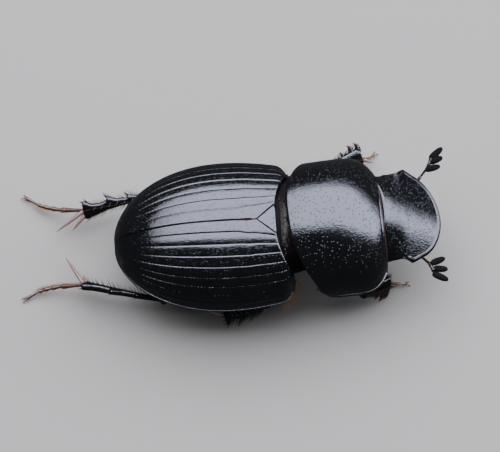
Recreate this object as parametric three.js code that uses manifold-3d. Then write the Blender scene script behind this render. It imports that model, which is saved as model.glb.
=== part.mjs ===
// A dung beetle of the night-flying kind, standing: black, smooth-headed, with ridged wing cases.
// Millimetres. +X points to the head, +Y to the beetle's left, +Z up, and the feet stand on z = 0.
// The origin is on the floor under the middle of the whole outline, feelers and feet included.
import * as THREE from "three";
import { mergeVertices } from "three/addons/utils/BufferGeometryUtils.js";
import Module from "manifold-3d";

// ---- Driving dimensions ----
const GAP = 0.05; // the joint line left between two plates
const THIN_LIP = 0.02; // the upper edge of a belly plate

// Hind body: its frame starts at the tip of the wing cases and runs forward along their seam.
const HIND = { x: -4.29, y: -0.897, yaw: 3.5 };
const CASE_WIDTH = 5.46; // across both wing cases
const CASE_WIDEST = 4.1; // forward of the tip
const CASE_LENGTH = 5.75; // tip to base, measured on the seam
const CASE_SHOULDER = 0.91; // how much further forward the shoulders stand
const CASE_REACH = CASE_LENGTH + 0.6 * CASE_SHOULDER; // tip to shoulder
const CASE_RIM = 2.35; // height of the side edge above the floor
const CASE_RIM_TIP = 2.1; // height of the same edge at the tip
const CASE_RIDGE = 4.3; // height of the seam above the floor
const CASE_RIDGE_FALL = 0.12; // the seam sinks by this towards the base
const CASE_HIGHEST = 3.6; // forward of the tip
const CASE_LIP = 0.12; // the edge that turns under
const CASE_TIP = 0.02; // the blunt end of the tip
const STRIAE = 10; // grooves on each wing case
const STRIA_STEP = 8.4; // degrees from groove to groove, round the section
const STRIA_DEPTH = 0.035;
const SCUTELLUM = { length: 0.8, halfWidth: 0.59, thickness: 0.55, top: 4.26, step: 0.15 };
const BELLY = { abdomen: [0.35, 3.1], metathorax: [3.18, 6.3], level: 0.66, share: 0.9, fullFrom: 2.6 };
const STERNITES = 6; // plates of the abdomen, each with a low step
const PYGIDIUM = { from: 0.1, length: 0.2, share: 0.8, shallow: 0.2, deep: 0.75 };

// Fore body: its frame starts at the middle of the shield's rear edge.
const FORE = { x: 1.893, y: -0.519, yaw: 7.2 };
const SHIELD_LENGTH = 3.42;
const SHIELD_WIDTH = 5.06;
const SHIELD_RIM = 2.2;
const SHIELD_RIDGE = 4.45;
const SHIELD_FRONT_RIDGE = 3.62;
const SHIELD_REAR_BOW = 0.95; // how far forward the rear corners lie
const SHIELD_WIDEST = 1.5; // forward of the rear edge
const SHIELD_HIGHEST = 1.3;
const SHIELD_REAR_FALL = 0.18;
const SHIELD_LIP = 0.1;
const WAIST = { from: 5.3, to: 7.2, halfWidth: 1.9, rim: 2.1, top: 3.98, bottom: 1.5 };
const PROTHORAX = { from: 0.8, to: 3.15, level: 0.8, share: 0.84 };

// Head: its frame starts under the front edge of the shield and tips down.
const HEAD = { x: 3.41, z: 3.08, pitch: 30 };
const HEAD_HALF_WIDTH = 1.57; // at the temples and at the base of the clypeus
const CLYPEUS_FROM = 1.0;
const CLYPEUS_LENGTH = 1.32;
const GENA = { at: 0.97, reach: 0.2, length: 0.42 };
const HEAD_FROM = 0.12;
const HEAD_DOME = 0.56;
const HEAD_EDGE = 0.1; // thickness of the clypeus edge
const MOUTH = { length: 1.5, halfWidth: 1.16, depth: 0.85 };
const EYE_ROOM = 1.08; // the socket is this much larger than the eye
const EYE = { x: 0.4, y: 1.36, z: -0.12, radii: [0.34, 0.23, 0.28] };

// Legs: no solid limb is much thinner than LIMB.
const LIMB = 0.46;
const TOE_PRESS = 0.07; // the part of a foot cut away to make its flat
const FOOT_LEVEL = LIMB / 2 - TOE_PRESS;
const COXA_HALF = 0.3;
const FEMUR_HALF = { ends: 0.25, middle: 0.42 };
const TIBIA_HALF = { knee: 0.2, ankle: 0.31 };
const SPURS = [
  { fan: 0, length: 1.15, back: 0.1 },
  { fan: 14, length: 0.62, back: 0.22 },
];
const SPUR = { root: 0.14, tip: 0.06, inset: 0.1, droop: -0.22, diggingShare: 0.5 };
const TOOTH = { reach: 0.3, lean: 0.14, inset: 0.12, places: [0.45, 0.7, 0.94] };
// Each leg: the way its coxa starts, hip, knee, ankle, the bend of the foot, the toe, the way its
// flat side faces, and the angle at which its spurs leave the tibia, towards the midline.
const LEGS = {
  fore_left: {
    root: [3.3, -0.1, 0.75], hip: [3.3, 0.45, 0.8], knee: [3.15, 2.2, 1.3], ankle: [4.5, 2.9, 0.85],
    bend: [4.82, 3.07], toe: [5.08, 3.36], faces: [0.35, -0.2, 1], spur: 35, side: 1, digs: true,
  },
  fore_right: {
    root: [3.5, -0.55, 0.75], hip: [3.55, -1.1, 0.8], knee: [4.62, -2.42, 1.4], ankle: [5.55, -1.86, 0.85],
    bend: [5.85, -1.65], toe: [6.2, -1.62], faces: [0.2, 0.5, 1], spur: 35, side: -1, digs: true,
  },
  mid_left: {
    root: [0.85, -0.1, 0.72], hip: [0.85, 0.35, 0.75], knee: [1.15, 1.68, 1.05], ankle: [-0.35, 1.86, 0.65],
    bend: [-0.9, 1.5], toe: [-1.35, 0.95], faces: [0, 0.3, 1], spur: 35, side: 1,
  },
  mid_right: {
    root: [0.85, -1, 0.72], hip: [0.85, -1.45, 0.75], knee: [1.15, -2.75, 1.05], ankle: [-0.35, -3.05, 0.65],
    bend: [-0.9, -2.65], toe: [-1.35, -2.05], faces: [0, -0.3, 1], spur: 35, side: -1,
  },
  hind_left: {
    root: [-0.6, -0.4, 0.72], hip: [-0.9, 0.15, 0.75], knee: [-2.95, 1.33, 1.15], ankle: [-5.45, 0.92, 0.85],
    bend: [-6.95, 1.12], toe: [-7.6, 1.74], faces: [0, -0.25, 1], spur: 25, side: 1,
  },
  hind_right: {
    root: [-0.6, -1.05, 0.72], hip: [-0.9, -1.6, 0.75], knee: [-2.5, -2.6, 1.15], ankle: [-5.45, -1.93, 0.85],
    bend: [-6.95, -1.7], toe: [-7.55, -2.25], faces: [0, 1, 0.5], spur: 42, side: -1,
  },
};

// Feelers: a stalk from base to elbow, and a club of leaves from elbow to end that lean forward.
const FEELERS = {
  left: { base: [6.45, 1.55, 1.75], elbow: [6.93, 2.12, 2], end: [7.12, 2.68, 2.1], lean: [0.5, -0.05, 0] },
  right: { base: [6.5, -1, 1.75], elbow: [6.98, -1.52, 2], end: [7.3, -2.05, 2.1], lean: [0.5, 0.12, 0] },
};
const CLUB = { leaves: 3, firstAt: 0.2, halfDepth: 0.24, halfWidth: 0.17 };

const COLOURS = {
  shell: { color: 0x0d0d10, roughness: 0.22, metalness: 0 },
  underside: { color: 0x151214, roughness: 0.4, metalness: 0 },
  membrane: { color: 0x2a1d18, roughness: 0.6, metalness: 0 },
  limb: { color: 0x120e0e, roughness: 0.34, metalness: 0 },
  tarsus: { color: 0x6b3418, roughness: 0.4, metalness: 0 },
  club: { color: 0x1d1512, roughness: 0.7, metalness: 0 },
  eye: { color: 0x060608, roughness: 0.12, metalness: 0 },
};

// ---- Making solids ----
const wasm = await Module();
wasm.setup();

const radians = THREE.MathUtils.degToRad;
const clamp01 = (value) => THREE.MathUtils.clamp(value, 0, 1);
const point = (x, y, z) => new THREE.Vector3(x, y, z);
const spread = (count, from, to) =>
  Array.from({ length: count + 1 }, (_, i) => from + ((to - from) * i) / count);

function signedVolume(points, faces) {
  let sum = 0;
  for (let i = 0; i < faces.length; i += 3) {
    const [a, b, c] = [points[faces[i]], points[faces[i + 1]], points[faces[i + 2]]];
    sum += a.dot(b.clone().cross(c)) / 6;
  }
  return sum;
}

// One closed skin through rings of points, with a fan over each end.
function loft(rings) {
  const sides = rings[0].length;
  const points = rings.flat();
  const faces = [];
  for (let ring = 0; ring + 1 < rings.length; ring++)
    for (let i = 0; i < sides; i++) {
      const [here, next] = [ring * sides, (ring + 1) * sides];
      const j = (i + 1) % sides;
      faces.push(here + i, here + j, next + j, here + i, next + j, next + i);
    }
  for (const ring of [0, rings.length - 1]) {
    const hub = points.length;
    const middle = rings[ring].reduce((sum, p) => sum.add(p), point(0, 0, 0));
    points.push(middle.divideScalar(sides));
    for (let i = 0; i < sides; i++) {
      const edge = [ring * sides + i, ring * sides + ((i + 1) % sides)];
      faces.push(hub, ...(ring ? edge : edge.reverse()));
    }
  }
  if (signedVolume(points, faces) < 0) faces.reverse();
  return new THREE.BufferGeometry().setFromPoints(points).setIndex(faces);
}

function solidOf(geometry) {
  const bare = geometry.clone();
  bare.deleteAttribute("normal");
  bare.deleteAttribute("uv");
  const merged = mergeVertices(bare, 1e-4);
  return new wasm.Manifold(
    new wasm.Mesh({
      numProp: 3,
      vertProperties: merged.attributes.position.array,
      triVerts: new Uint32Array(merged.index.array),
    }),
  );
}

function geometryOf(solid) {
  const mesh = solid.getMesh();
  return new THREE.BufferGeometry()
    .setAttribute("position", new THREE.BufferAttribute(mesh.vertProperties, 3))
    .setIndex(new THREE.BufferAttribute(mesh.triVerts, 1));
}

const joined = (...geometries) =>
  geometryOf(geometries.map(solidOf).reduce((all, next) => all.add(next)));
const cutBy = (geometry, ...cutters) =>
  geometryOf(cutters.map(solidOf).reduce((rest, next) => rest.subtract(next), solidOf(geometry)));

// A plate or belly: rows run forward, and each row is an elliptical arch over a flat underside.
// along(s, across) is the forward place, halfWidth and rise shape the arch, rim is its level,
// and relief(s, angle) lowers the surface a little. A negative rise hangs the arch down.
function arch({ rows, angles, along, halfWidth, rim, rise, lip, relief = () => 0, inner = 0 }) {
  return loft(
    rows.map((s) => {
      const place = (across, up) => point(along(s, across), inner + halfWidth(s) * across, up);
      const ring = angles.map((angle) => {
        const t = radians(angle);
        const shrink = 1 - relief(s, angle);
        return place(Math.sin(t) * shrink, rim(s) + rise(s) * Math.cos(t) * shrink);
      });
      const edges = [angles.at(-1), angles[0]].map((angle) => Math.sin(radians(angle)) * 0.97);
      const under = rim(s) - lip * Math.sign(rise(s));
      return [...ring, ...edges.map((across) => place(across, under))];
    }),
  );
}

// A limb: flattened rings along a curve. wide and thick are half sizes at t from 0 to 1.
function limb(curve, steps, side, wide, thick, sides = 8) {
  const rings = spread(steps, 0, 1).map((t) => {
    const tangent = curve.getTangent(t);
    const across = side.clone().addScaledVector(tangent, -side.dot(tangent)).normalize();
    const up = tangent.clone().cross(across);
    return spread(sides - 1, 0, 1 - 1 / sides).map((turn) =>
      curve
        .getPoint(t)
        .addScaledVector(across, wide(t) * Math.cos(turn * 2 * Math.PI))
        .addScaledVector(up, thick(t) * Math.sin(turn * 2 * Math.PI)),
    );
  });
  return loft(rings);
}

const line = (from, to) => new THREE.LineCurve3(from, to);
function spike(from, to, grow) {
  const half = (t) => SPUR.root + (SPUR.tip - SPUR.root) * t + grow;
  return limb(line(from, to), 1, point(0.3, 0.2, 1), half, half, 5);
}

const beetle = new THREE.Group();
function placed(frame, parent = beetle) {
  const group = new THREE.Group();
  group.position.set(frame.x, frame.y ?? 0, frame.z ?? 0);
  group.rotation.set(0, radians(frame.pitch ?? 0), radians(frame.yaw ?? 0));
  parent.add(group);
  group.updateWorldMatrix(true, false);
  return group;
}
function part(name, geometry, colour, parent = beetle) {
  const mesh = new THREE.Mesh(geometry, new THREE.MeshStandardMaterial(COLOURS[colour]));
  mesh.name = name;
  parent.add(mesh);
  return mesh;
}
const inWorld = (geometry, group) => geometry.clone().applyMatrix4(group.matrixWorld);

const hind = placed(HIND);
const fore = placed(FORE);
const head = placed(HEAD, fore);

// ---- Wing cases, scutellum and the plates under them ----
// Half the width of the wing cases at u, forward of their tip.
function caseHalfWidth(u) {
  const half = CASE_WIDTH / 2;
  if (u < CASE_WIDEST) {
    const t = (CASE_WIDEST - u) / CASE_WIDEST;
    return half * (1 - t ** 2.1) ** (1 / 1.95);
  }
  const t = (u - CASE_WIDEST) / (CASE_REACH - CASE_WIDEST);
  return half * (1 - 0.1 * t ** 1.8 - 0.11 * clamp01((t - 0.8) / 0.2) ** 2.5);
}
const caseRim = (u) => CASE_RIM - (CASE_RIM - CASE_RIM_TIP) * clamp01(1 - u / 2) ** 2;
function caseRidge(u) {
  const t = clamp01((CASE_HIGHEST - u) / CASE_HIGHEST);
  const low = CASE_RIM_TIP + 0.1;
  const fall = CASE_RIDGE_FALL * clamp01((u - CASE_HIGHEST) / 3) ** 2;
  return low + (CASE_RIDGE - low) * Math.sqrt(1 - t * t) - fall;
}
// The base line bows forward to the shoulders and is notched at the seam for the scutellum.
function caseBase(across) {
  const notch = clamp01(1 - (Math.abs(across) * CASE_WIDTH) / 2 / SCUTELLUM.halfWidth);
  const bow = across ** 2 - 0.35 * across ** 8;
  return CASE_LENGTH + CASE_SHOULDER * bow - (SCUTELLUM.length - SCUTELLUM.step) * notch;
}

function wingCase(side) {
  const angles = spread(2 * STRIAE + 1, 0, STRIA_STEP * (STRIAE + 0.5)).map((a) => side * a);
  const place = (s) => CASE_TIP + s ** 1.6 * (CASE_REACH - CASE_TIP);
  return arch({
    rows: spread(18, 0, 1),
    angles,
    inner: (side * GAP) / 2,
    along: (s, across) => CASE_TIP + s ** 1.6 * (caseBase(across) - CASE_TIP),
    halfWidth: (s) => caseHalfWidth(place(s)),
    rim: (s) => caseRim(place(s)),
    rise: (s) => caseRidge(place(s)) - caseRim(place(s)),
    lip: CASE_LIP,
    relief: (s, angle) => {
      const groove = Math.round(Math.abs(angle) / (STRIA_STEP / 2)) % 2 === 0 && Math.abs(angle) > 1;
      return groove ? (STRIA_DEPTH / 2) * Math.sin(Math.PI * clamp01(s * 1.02 - 0.01)) ** 0.4 : 0;
    },
  });
}
part("elytron_left", wingCase(1), "shell", hind);
part("elytron_right", wingCase(-1), "shell", hind);

function scutellum() {
  const tip = CASE_LENGTH - SCUTELLUM.length + SCUTELLUM.step;
  return loft(
    spread(4, 0.08, 1).map((t) => {
      const half = SCUTELLUM.halfWidth * t - GAP;
      const [u, top] = [tip + SCUTELLUM.length * 0.86 * t, SCUTELLUM.top - 0.1 * t * t];
      return spread(4, -1, 1)
        .map((k) => point(u, k * half, top - 0.06 * k * k))
        .concat([point(u, half, top - SCUTELLUM.thickness), point(u, -half, top - SCUTELLUM.thickness)]);
    }),
  );
}
part("scutellum", scutellum(), "shell", hind);

// The belly hangs under the wing cases, in two plates: abdomen behind and metathorax in front.
// grow swells a plate on all sides, to cut room for it out of its neighbours.
function bellyPlate([from, to], grow = 0, steps = 0) {
  const rings = Math.max(2 * steps, 5);
  const place = (s) => from - grow + s * (to - from + 2 * grow);
  const top = (s) => caseRim(place(s)) - CASE_LIP - GAP;
  const full = (u) => Math.sqrt(1 - clamp01(1 - u / BELLY.fullFrom) ** 2.4);
  return arch({
    rows: spread(rings, 0, 1),
    angles: spread(12, -90, 90),
    along: place,
    halfWidth: (s) => BELLY.share * caseHalfWidth(place(s)) + grow,
    rim: (s) => top(s) + grow,
    rise: (s) => -(top(s) - BELLY.level) * full(place(s)) - grow,
    lip: THIN_LIP,
    relief: (s) => (steps && Math.round(s * rings) % 2 ? 0.02 : 0),
  });
}
part("abdomen", bellyPlate(BELLY.abdomen, 0, STERNITES), "underside", hind);
part("metathorax", bellyPlate(BELLY.metathorax), "underside", hind);

// The last plate of the back, closing the body under the tip of the wing cases.
function pygidium() {
  const top = CASE_RIM_TIP - CASE_LIP - 2 * GAP;
  return loft(
    spread(5, 0, 1).map((t) => {
      const u = PYGIDIUM.from + PYGIDIUM.length * t;
      const half = PYGIDIUM.share * caseHalfWidth(u + GAP);
      const depth = PYGIDIUM.shallow + (PYGIDIUM.deep - PYGIDIUM.shallow) * Math.sqrt(t);
      return spread(8, -90, 90)
        .map(radians)
        .map((angle) => point(u, half * Math.sin(angle), top - depth * Math.cos(angle)));
    }),
  );
}
part("pygidium", pygidium(), "underside", hind);

// ---- Shield of the prothorax, and the body under it ----
function shieldHalfWidth(p) {
  const t = clamp01((p - SHIELD_WIDEST) / (SHIELD_LENGTH - SHIELD_WIDEST));
  return (SHIELD_WIDTH / 2) * (1 - 0.33 * t ** 3.5);
}
function shieldRidge(p) {
  const front = clamp01((p - SHIELD_HIGHEST) / (SHIELD_LENGTH - SHIELD_HIGHEST));
  const rear = clamp01(1 - p / SHIELD_HIGHEST);
  const fall = (SHIELD_RIDGE - SHIELD_FRONT_RIDGE) * front ** 2.2 + SHIELD_REAR_FALL * rear ** 2;
  return SHIELD_RIDGE - fall;
}
function shield(grow = 0) {
  const place = (s) => -grow + s * (SHIELD_LENGTH + 2 * grow);
  return arch({
    rows: spread(14, 0, 1).map((s) => Math.sin((s * Math.PI) / 2) ** 1.1),
    angles: spread(26, -90, 90),
    along: (s, across) => {
      const bow = SHIELD_REAR_BOW * Math.abs(across) ** 2.6;
      return bow + s * (SHIELD_LENGTH - bow) - grow * (1 - 2 * s);
    },
    halfWidth: (s) => shieldHalfWidth(place(s)) + grow,
    rim: () => SHIELD_RIM - grow,
    rise: (s) => shieldRidge(place(s)) - SHIELD_RIM + 2 * grow,
    lip: SHIELD_LIP,
  });
}
part("pronotum", shield(), "shell", fore);

function prothorax(grow = 0) {
  const place = (s) => PROTHORAX.from - grow + s * (PROTHORAX.to - PROTHORAX.from + 2 * grow);
  const top = SHIELD_RIM - SHIELD_LIP - GAP;
  const full = (s) => Math.sqrt(1 - 0.35 * Math.abs(2 * s - 1) ** 2.5);
  return arch({
    rows: spread(6, 0, 1),
    angles: spread(12, -90, 90),
    along: place,
    halfWidth: (s) => PROTHORAX.share * shieldHalfWidth(place(s)) + grow,
    rim: () => top + grow,
    rise: (s) => -(top - PROTHORAX.level) * full(s) - grow,
    lip: THIN_LIP,
  });
}
part("prothorax", prothorax(), "underside", fore);

// The waist between shield and wing cases, seen as a dull strip where the two stand apart.
function waist() {
  const block = arch({
    rows: spread(6, 0, 1),
    angles: spread(14, -90, 90),
    along: (s) => WAIST.from + (WAIST.to - WAIST.from) * s,
    halfWidth: () => WAIST.halfWidth,
    rim: () => WAIST.rim,
    rise: () => WAIST.top - WAIST.rim,
    lip: WAIST.rim - WAIST.bottom,
  });
  return cutBy(
    inWorld(block, hind),
    inWorld(behindBaseLine(), hind),
    inWorld(bellyPlate(BELLY.metathorax, GAP), hind),
    inWorld(shield(GAP), fore),
    inWorld(prothorax(GAP), fore),
  );
}
// All that lies behind the base line of the wing cases, as one solid to cut with.
function behindBaseLine() {
  const [half, rear, top] = [3.2, 4.5, 5];
  const base = (across) => CASE_LENGTH + CASE_SHOULDER * (across / (CASE_WIDTH / 2)) ** 2 + 2 * GAP;
  const ring = (up) => [
    ...spread(14, -half, half).map((across) => point(base(across), across, up)),
    point(rear, half, up),
    point(rear, -half, up),
  ];
  return loft([ring(CASE_RIM - CASE_LIP - GAP), ring(top)]);
}
part("mesothorax", waist(), "membrane");

// ---- Head ----
// Half the width of the head at x, forward of the edge of the shield.
function headHalfWidth(x) {
  const round = clamp01((x - CLYPEUS_FROM) / CLYPEUS_LENGTH);
  const gena = GENA.reach * clamp01(1 - Math.abs(x - GENA.at) / GENA.length) ** 1.5;
  return HEAD_HALF_WIDTH * Math.sqrt(1 - round * round) + gena * (1 - round);
}
function headCapsule() {
  const reach = CLYPEUS_FROM + CLYPEUS_LENGTH - 0.012 - HEAD_FROM;
  const place = (s) => HEAD_FROM + s * reach;
  const upper = arch({
    rows: spread(14, 0, 1).map((s) => Math.sin((s * Math.PI) / 2)),
    angles: spread(14, -90, 90),
    along: place,
    halfWidth: (s) => headHalfWidth(place(s)),
    rim: () => 0,
    rise: (s) => 0.05 + HEAD_DOME * Math.sqrt(1 - clamp01((place(s) - 0.5) / 1.9) ** 2.2),
    lip: HEAD_EDGE,
  });
  const mouth = arch({
    rows: spread(5, 0, 1),
    angles: spread(10, -90, 90),
    along: (s) => HEAD_FROM + 0.04 + s * MOUTH.length,
    halfWidth: (s) => MOUTH.halfWidth * Math.sqrt(1 - 0.5 * s * s),
    rim: () => 0.05,
    rise: (s) => -MOUTH.depth * Math.sqrt(1 - 0.6 * s * s),
    lip: THIN_LIP,
  });
  return joined(upper, mouth);
}
function eye(side, room = 1) {
  const ball = new THREE.SphereGeometry(room, 12, 8);
  return ball.scale(...EYE.radii).translate(EYE.x, side * EYE.y, EYE.z);
}
const shieldRoom = inWorld(shield(GAP), fore);
const emerging = (geometry, ...cutters) => cutBy(inWorld(geometry, head), shieldRoom, ...cutters);
const sockets = [1, -1].map((side) => inWorld(eye(side, EYE_ROOM), head));
part("head", emerging(headCapsule(), ...sockets), "shell");
part("eye_left", emerging(eye(1)), "eye");
part("eye_right", emerging(eye(-1)), "eye");

// ---- Legs ----
const vector = (list) => point(...list);
const between = (from, to, t) => from.clone().lerp(to, t);
const largest = (geometry) =>
  geometryOf(solidOf(geometry).decompose().reduce((a, b) => (a.volume() > b.volume() ? a : b)));

const bellies = [
  inWorld(bellyPlate(BELLY.abdomen, GAP), hind),
  inWorld(bellyPlate(BELLY.metathorax, GAP), hind),
  inWorld(prothorax(GAP), fore),
];
const floorBlock = () => new THREE.BoxGeometry(20, 12, 2).translate(0, 0, -1);

function coxa(leg, grow = 0) {
  const half = () => COXA_HALF + grow;
  return limb(line(vector(leg.root), vector(leg.hip)), 3, point(1, 0, 0), half, half);
}
function femur(leg, grow = 0) {
  const [hip, knee] = [vector(leg.hip), vector(leg.knee)];
  const broad = vector(leg.faces).cross(knee.clone().sub(hip));
  const swell = (t) => (FEMUR_HALF.middle - FEMUR_HALF.ends) * Math.sin(Math.PI * t) ** 0.8;
  const wide = (t) => FEMUR_HALF.ends + swell(t) + grow;
  return limb(line(hip, knee), 6, broad, wide, () => LIMB / 2 + grow);
}
function tibia(leg, grow = 0) {
  const [knee, ankle] = [vector(leg.knee), vector(leg.ankle)];
  const along = ankle.clone().sub(knee).normalize();
  const broad = along.clone().cross(vector(leg.faces));
  const inward = point(along.y, -along.x, 0).normalize();
  if (inward.y * leg.side > 0) inward.negate();
  const wide = (t) => TIBIA_HALF.knee + (TIBIA_HALF.ankle - TIBIA_HALF.knee) * t;
  const blade = limb(line(knee, ankle), 4, broad, (t) => wide(t) + grow, () => LIMB / 2 + grow);
  const spurs = SPURS.map(({ fan, length, back }) => {
    const root = ankle.clone().addScaledVector(along, -back).addScaledVector(inward, SPUR.inset);
    const angle = radians(leg.spur + fan);
    const way = along.clone().multiplyScalar(Math.cos(angle)).addScaledVector(inward, Math.sin(angle));
    way.add(point(0, 0, SPUR.droop)).normalize();
    const reach = length * (leg.digs ? SPUR.diggingShare : 1) + grow;
    return spike(root, root.clone().addScaledVector(way, reach), grow);
  });
  const teeth = (leg.digs ? TOOTH.places : []).map((t) => {
    const root = between(knee, ankle, t).addScaledVector(inward, TOOTH.inset - wide(t));
    const tip = root.clone().addScaledVector(inward, -TOOTH.reach - TOOTH.inset);
    return spike(root, tip.addScaledVector(along, TOOTH.lean), grow);
  });
  return joined(blade, ...spurs, ...teeth);
}
// The foot comes down from the ankle and lies along the floor to the toe.
function tarsus(leg) {
  const [ankle, bend, toe] = [leg.ankle, [...leg.bend, FOOT_LEVEL], [...leg.toe, FOOT_LEVEL]].map(vector);
  const curve = new THREE.QuadraticBezierCurve3(ankle, bend, toe);
  const half = () => LIMB / 2;
  return limb(curve, 8, point(0, 1, 0.02), half, half);
}
for (const [name, leg] of Object.entries(LEGS)) {
  const pieces = {
    coxa: largest(cutBy(coxa(leg), ...bellies)),
    femur: largest(cutBy(femur(leg), ...bellies, coxa(leg, GAP))),
    tibia: largest(cutBy(tibia(leg), ...bellies, femur(leg, GAP))),
    tarsus: largest(cutBy(tarsus(leg), floorBlock(), tibia(leg, GAP))),
  };
  for (const [piece, geometry] of Object.entries(pieces))
    part(`${name}_${piece}`, geometry, piece === "tarsus" ? "tarsus" : "limb");
}

// ---- Feelers ----
const headRoom = inWorld(headCapsule(), head);
for (const [side, feeler] of Object.entries(FEELERS)) {
  const [base, elbow, end] = [feeler.base, feeler.elbow, feeler.end].map(vector);
  const half = () => LIMB / 2;
  const stalk = limb(line(base, elbow), 3, point(0, 0, 1), half, half);
  const leaves = spread(CLUB.leaves - 1, CLUB.firstAt, 1).map((t) => {
    const root = between(elbow, end, t);
    const tip = root.clone().add(vector(feeler.lean));
    const leaf = (u) => CLUB.halfWidth * (0.45 + 0.75 * Math.sin(Math.PI * u) ** 0.7);
    return limb(line(root, tip), 3, point(0, 0, 1), () => CLUB.halfDepth, leaf, 6);
  });
  part(`antenna_${side}_stalk`, cutBy(stalk, headRoom), "tarsus");
  part(`antenna_${side}_club`, joined(...leaves), "club");
}

export default beetle;
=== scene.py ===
# %% [markdown]
# # A dung beetle, life size
#
# This lesson dresses a black dung beetle of the night-flying kind, about 11.5 mm long. The solid
# model gives the frame: every piece here is built at its real place and size, in the same space.
# A beetle is a suit of armour, so most pieces are plates of chitin, and nearly all of the look
# comes from three things: smooth convex plates, fine grooves and pits in them, and a polish that
# mirrors one large soft light.

# %% Load the fixed frame
import math

import bmesh
import bpy
import numpy as np
from mathutils import Matrix, Vector


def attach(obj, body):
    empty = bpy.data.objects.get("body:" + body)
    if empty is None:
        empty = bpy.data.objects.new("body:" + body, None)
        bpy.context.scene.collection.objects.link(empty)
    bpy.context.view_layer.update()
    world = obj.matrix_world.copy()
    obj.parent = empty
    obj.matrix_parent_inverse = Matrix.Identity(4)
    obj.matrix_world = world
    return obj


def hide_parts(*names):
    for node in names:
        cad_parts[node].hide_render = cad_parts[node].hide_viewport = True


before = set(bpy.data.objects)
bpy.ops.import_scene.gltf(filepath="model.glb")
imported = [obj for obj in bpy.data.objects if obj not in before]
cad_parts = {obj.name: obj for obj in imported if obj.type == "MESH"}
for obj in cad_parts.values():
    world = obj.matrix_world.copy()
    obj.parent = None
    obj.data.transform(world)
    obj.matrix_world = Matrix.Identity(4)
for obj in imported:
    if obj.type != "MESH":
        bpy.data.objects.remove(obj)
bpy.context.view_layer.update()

MM = 0.001  # sizes below are in millimetres, and meshes are in metres

# %% [markdown]
# ## The three parts of the body
#
# A beetle turns at the waist and at the neck. So the hind body, the fore body and the head each
# get a frame of their own, as the solids have, and a plate is shaped in the frame that it belongs
# to. The sizes are those of the solids, in millimetres. Along the wing cases, u runs forward from
# their tip. Along the shield, p runs forward from the middle of its rear edge.

# %% Frames and driving sizes
def frame_at(x, y, z=0.0, yaw=0.0, pitch=0.0, roll=0.0, axis=0.0, parent=Matrix.Identity(4)):
    """A turned frame, in mm and degrees. It rolls about its own X axis raised by axis."""
    turn = Matrix.Rotation(math.radians(pitch), 4, "Y") @ Matrix.Rotation(math.radians(yaw), 4, "Z")
    rolled = Matrix.Translation((0, 0, axis)) @ Matrix.Rotation(math.radians(roll), 4, "X")
    return parent @ Matrix.Translation((x, y, z)) @ turn @ rolled @ Matrix.Translation((0, 0, -axis))


def in_world(points, place):
    """Points of a frame, in the space of the whole beetle."""
    return np.asarray(points) @ np.array(place.to_3x3()).T + np.array(place.translation)


def ways_in_world(ways, place):
    return np.asarray(ways) @ np.array(place.to_3x3()).T


HIND_YAW, FORE_YAW, HEAD_PITCH = 3.5, 7.2, 30.0
WORLD = Matrix.Identity(4)
HIND = frame_at(-4.29, -0.897, yaw=HIND_YAW, roll=1.5, axis=2.0)
FORE = frame_at(1.893, -0.519, yaw=FORE_YAW)
HEAD = frame_at(3.48, 0.07, 3.08, pitch=HEAD_PITCH, roll=5.0, parent=FORE)

CASE_HALF = 2.73  # half the width across both wing cases
CASE_WIDEST = 4.1
CASE_LENGTH = 5.75
CASE_SHOULDER = 0.91
CASE_REACH = CASE_LENGTH + 0.6 * CASE_SHOULDER
CASE_RIM, CASE_RIM_TIP = 2.35, 2.1
CASE_RIDGE, CASE_RIDGE_FALL, CASE_HIGHEST = 4.3, 0.12, 3.6
CASE_TIP = 0.02
STRIAE = 9  # grooves on each wing case
STRIA_STEP = 9.1  # degrees round the section
CASE_SPAN = 88.2  # degrees from the seam to the rim
SCUTELLUM_LENGTH, SCUTELLUM_HALF, SCUTELLUM_STEP = 0.8, 0.59, 0.15

SHIELD_LENGTH, SHIELD_HALF = 3.42, 2.53
SHIELD_RIM, SHIELD_RIDGE, SHIELD_FRONT_RIDGE = 2.2, 4.45, 3.62
SHIELD_REAR_BOW, SHIELD_WIDEST, SHIELD_HIGHEST, SHIELD_REAR_FALL = 0.95, 1.5, 1.3, 0.18

HEAD_HALF, CLYPEUS_FROM, CLYPEUS_LENGTH = 1.62, 0.99, 1.27


def share(value):
    """The value held between 0 and 1."""
    return np.clip(value, 0.0, 1.0)


def smooth(value):
    """A soft step from 0 to 1."""
    t = share(value)
    return t * t * (3 - 2 * t)


print("hind body turned", HIND_YAW, "and fore body", FORE_YAW, "degrees from the line of the floor's X axis")

# %% [markdown]
# ## Small tools
#
# Every plate and limb here is a row of rings: each ring goes once round the piece, and the next
# ring stands a little further along it. One function joins such rings into a closed mesh with a
# fan over each end. A second function adds a node to a node tree, for materials and for Geometry
# Nodes alike, and a few short ones add the nodes that come back most often.

# %% Rings to a closed mesh
def circle(count):
    """Angles once round, in radians."""
    return np.linspace(0, 2 * np.pi, count, endpoint=False)


def side_name(side):
    return "left" if side > 0 else "right"


def grid(forward, side, height):
    """Points from three arrays that are stretched to the same shape."""
    return np.stack(np.broadcast_arrays(forward, side, height), -1)


def closed_skin(rings):
    """Points and faces of one closed surface through rings, given as an array of ring x point x 3."""
    rows, sides, _ = rings.shape
    points = np.concatenate([rings.reshape(-1, 3), rings[[0, -1]].mean(axis=1)])
    here = (np.arange(rows - 1) * sides)[:, None]
    side, following = np.arange(sides)[None, :], (np.arange(sides) + 1)[None, :] % sides
    ahead = here + sides
    quads = np.stack([here + side, here + following, ahead + following, ahead + side], -1)
    faces = quads.reshape(-1, 4).tolist()
    first_hub, last_hub, last = rows * sides, rows * sides + 1, (rows - 1) * sides
    for i in range(sides):
        j = (i + 1) % sides
        faces += [(first_hub, j, i), (last_hub, last + i, last + j)]
    return points, faces


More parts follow.
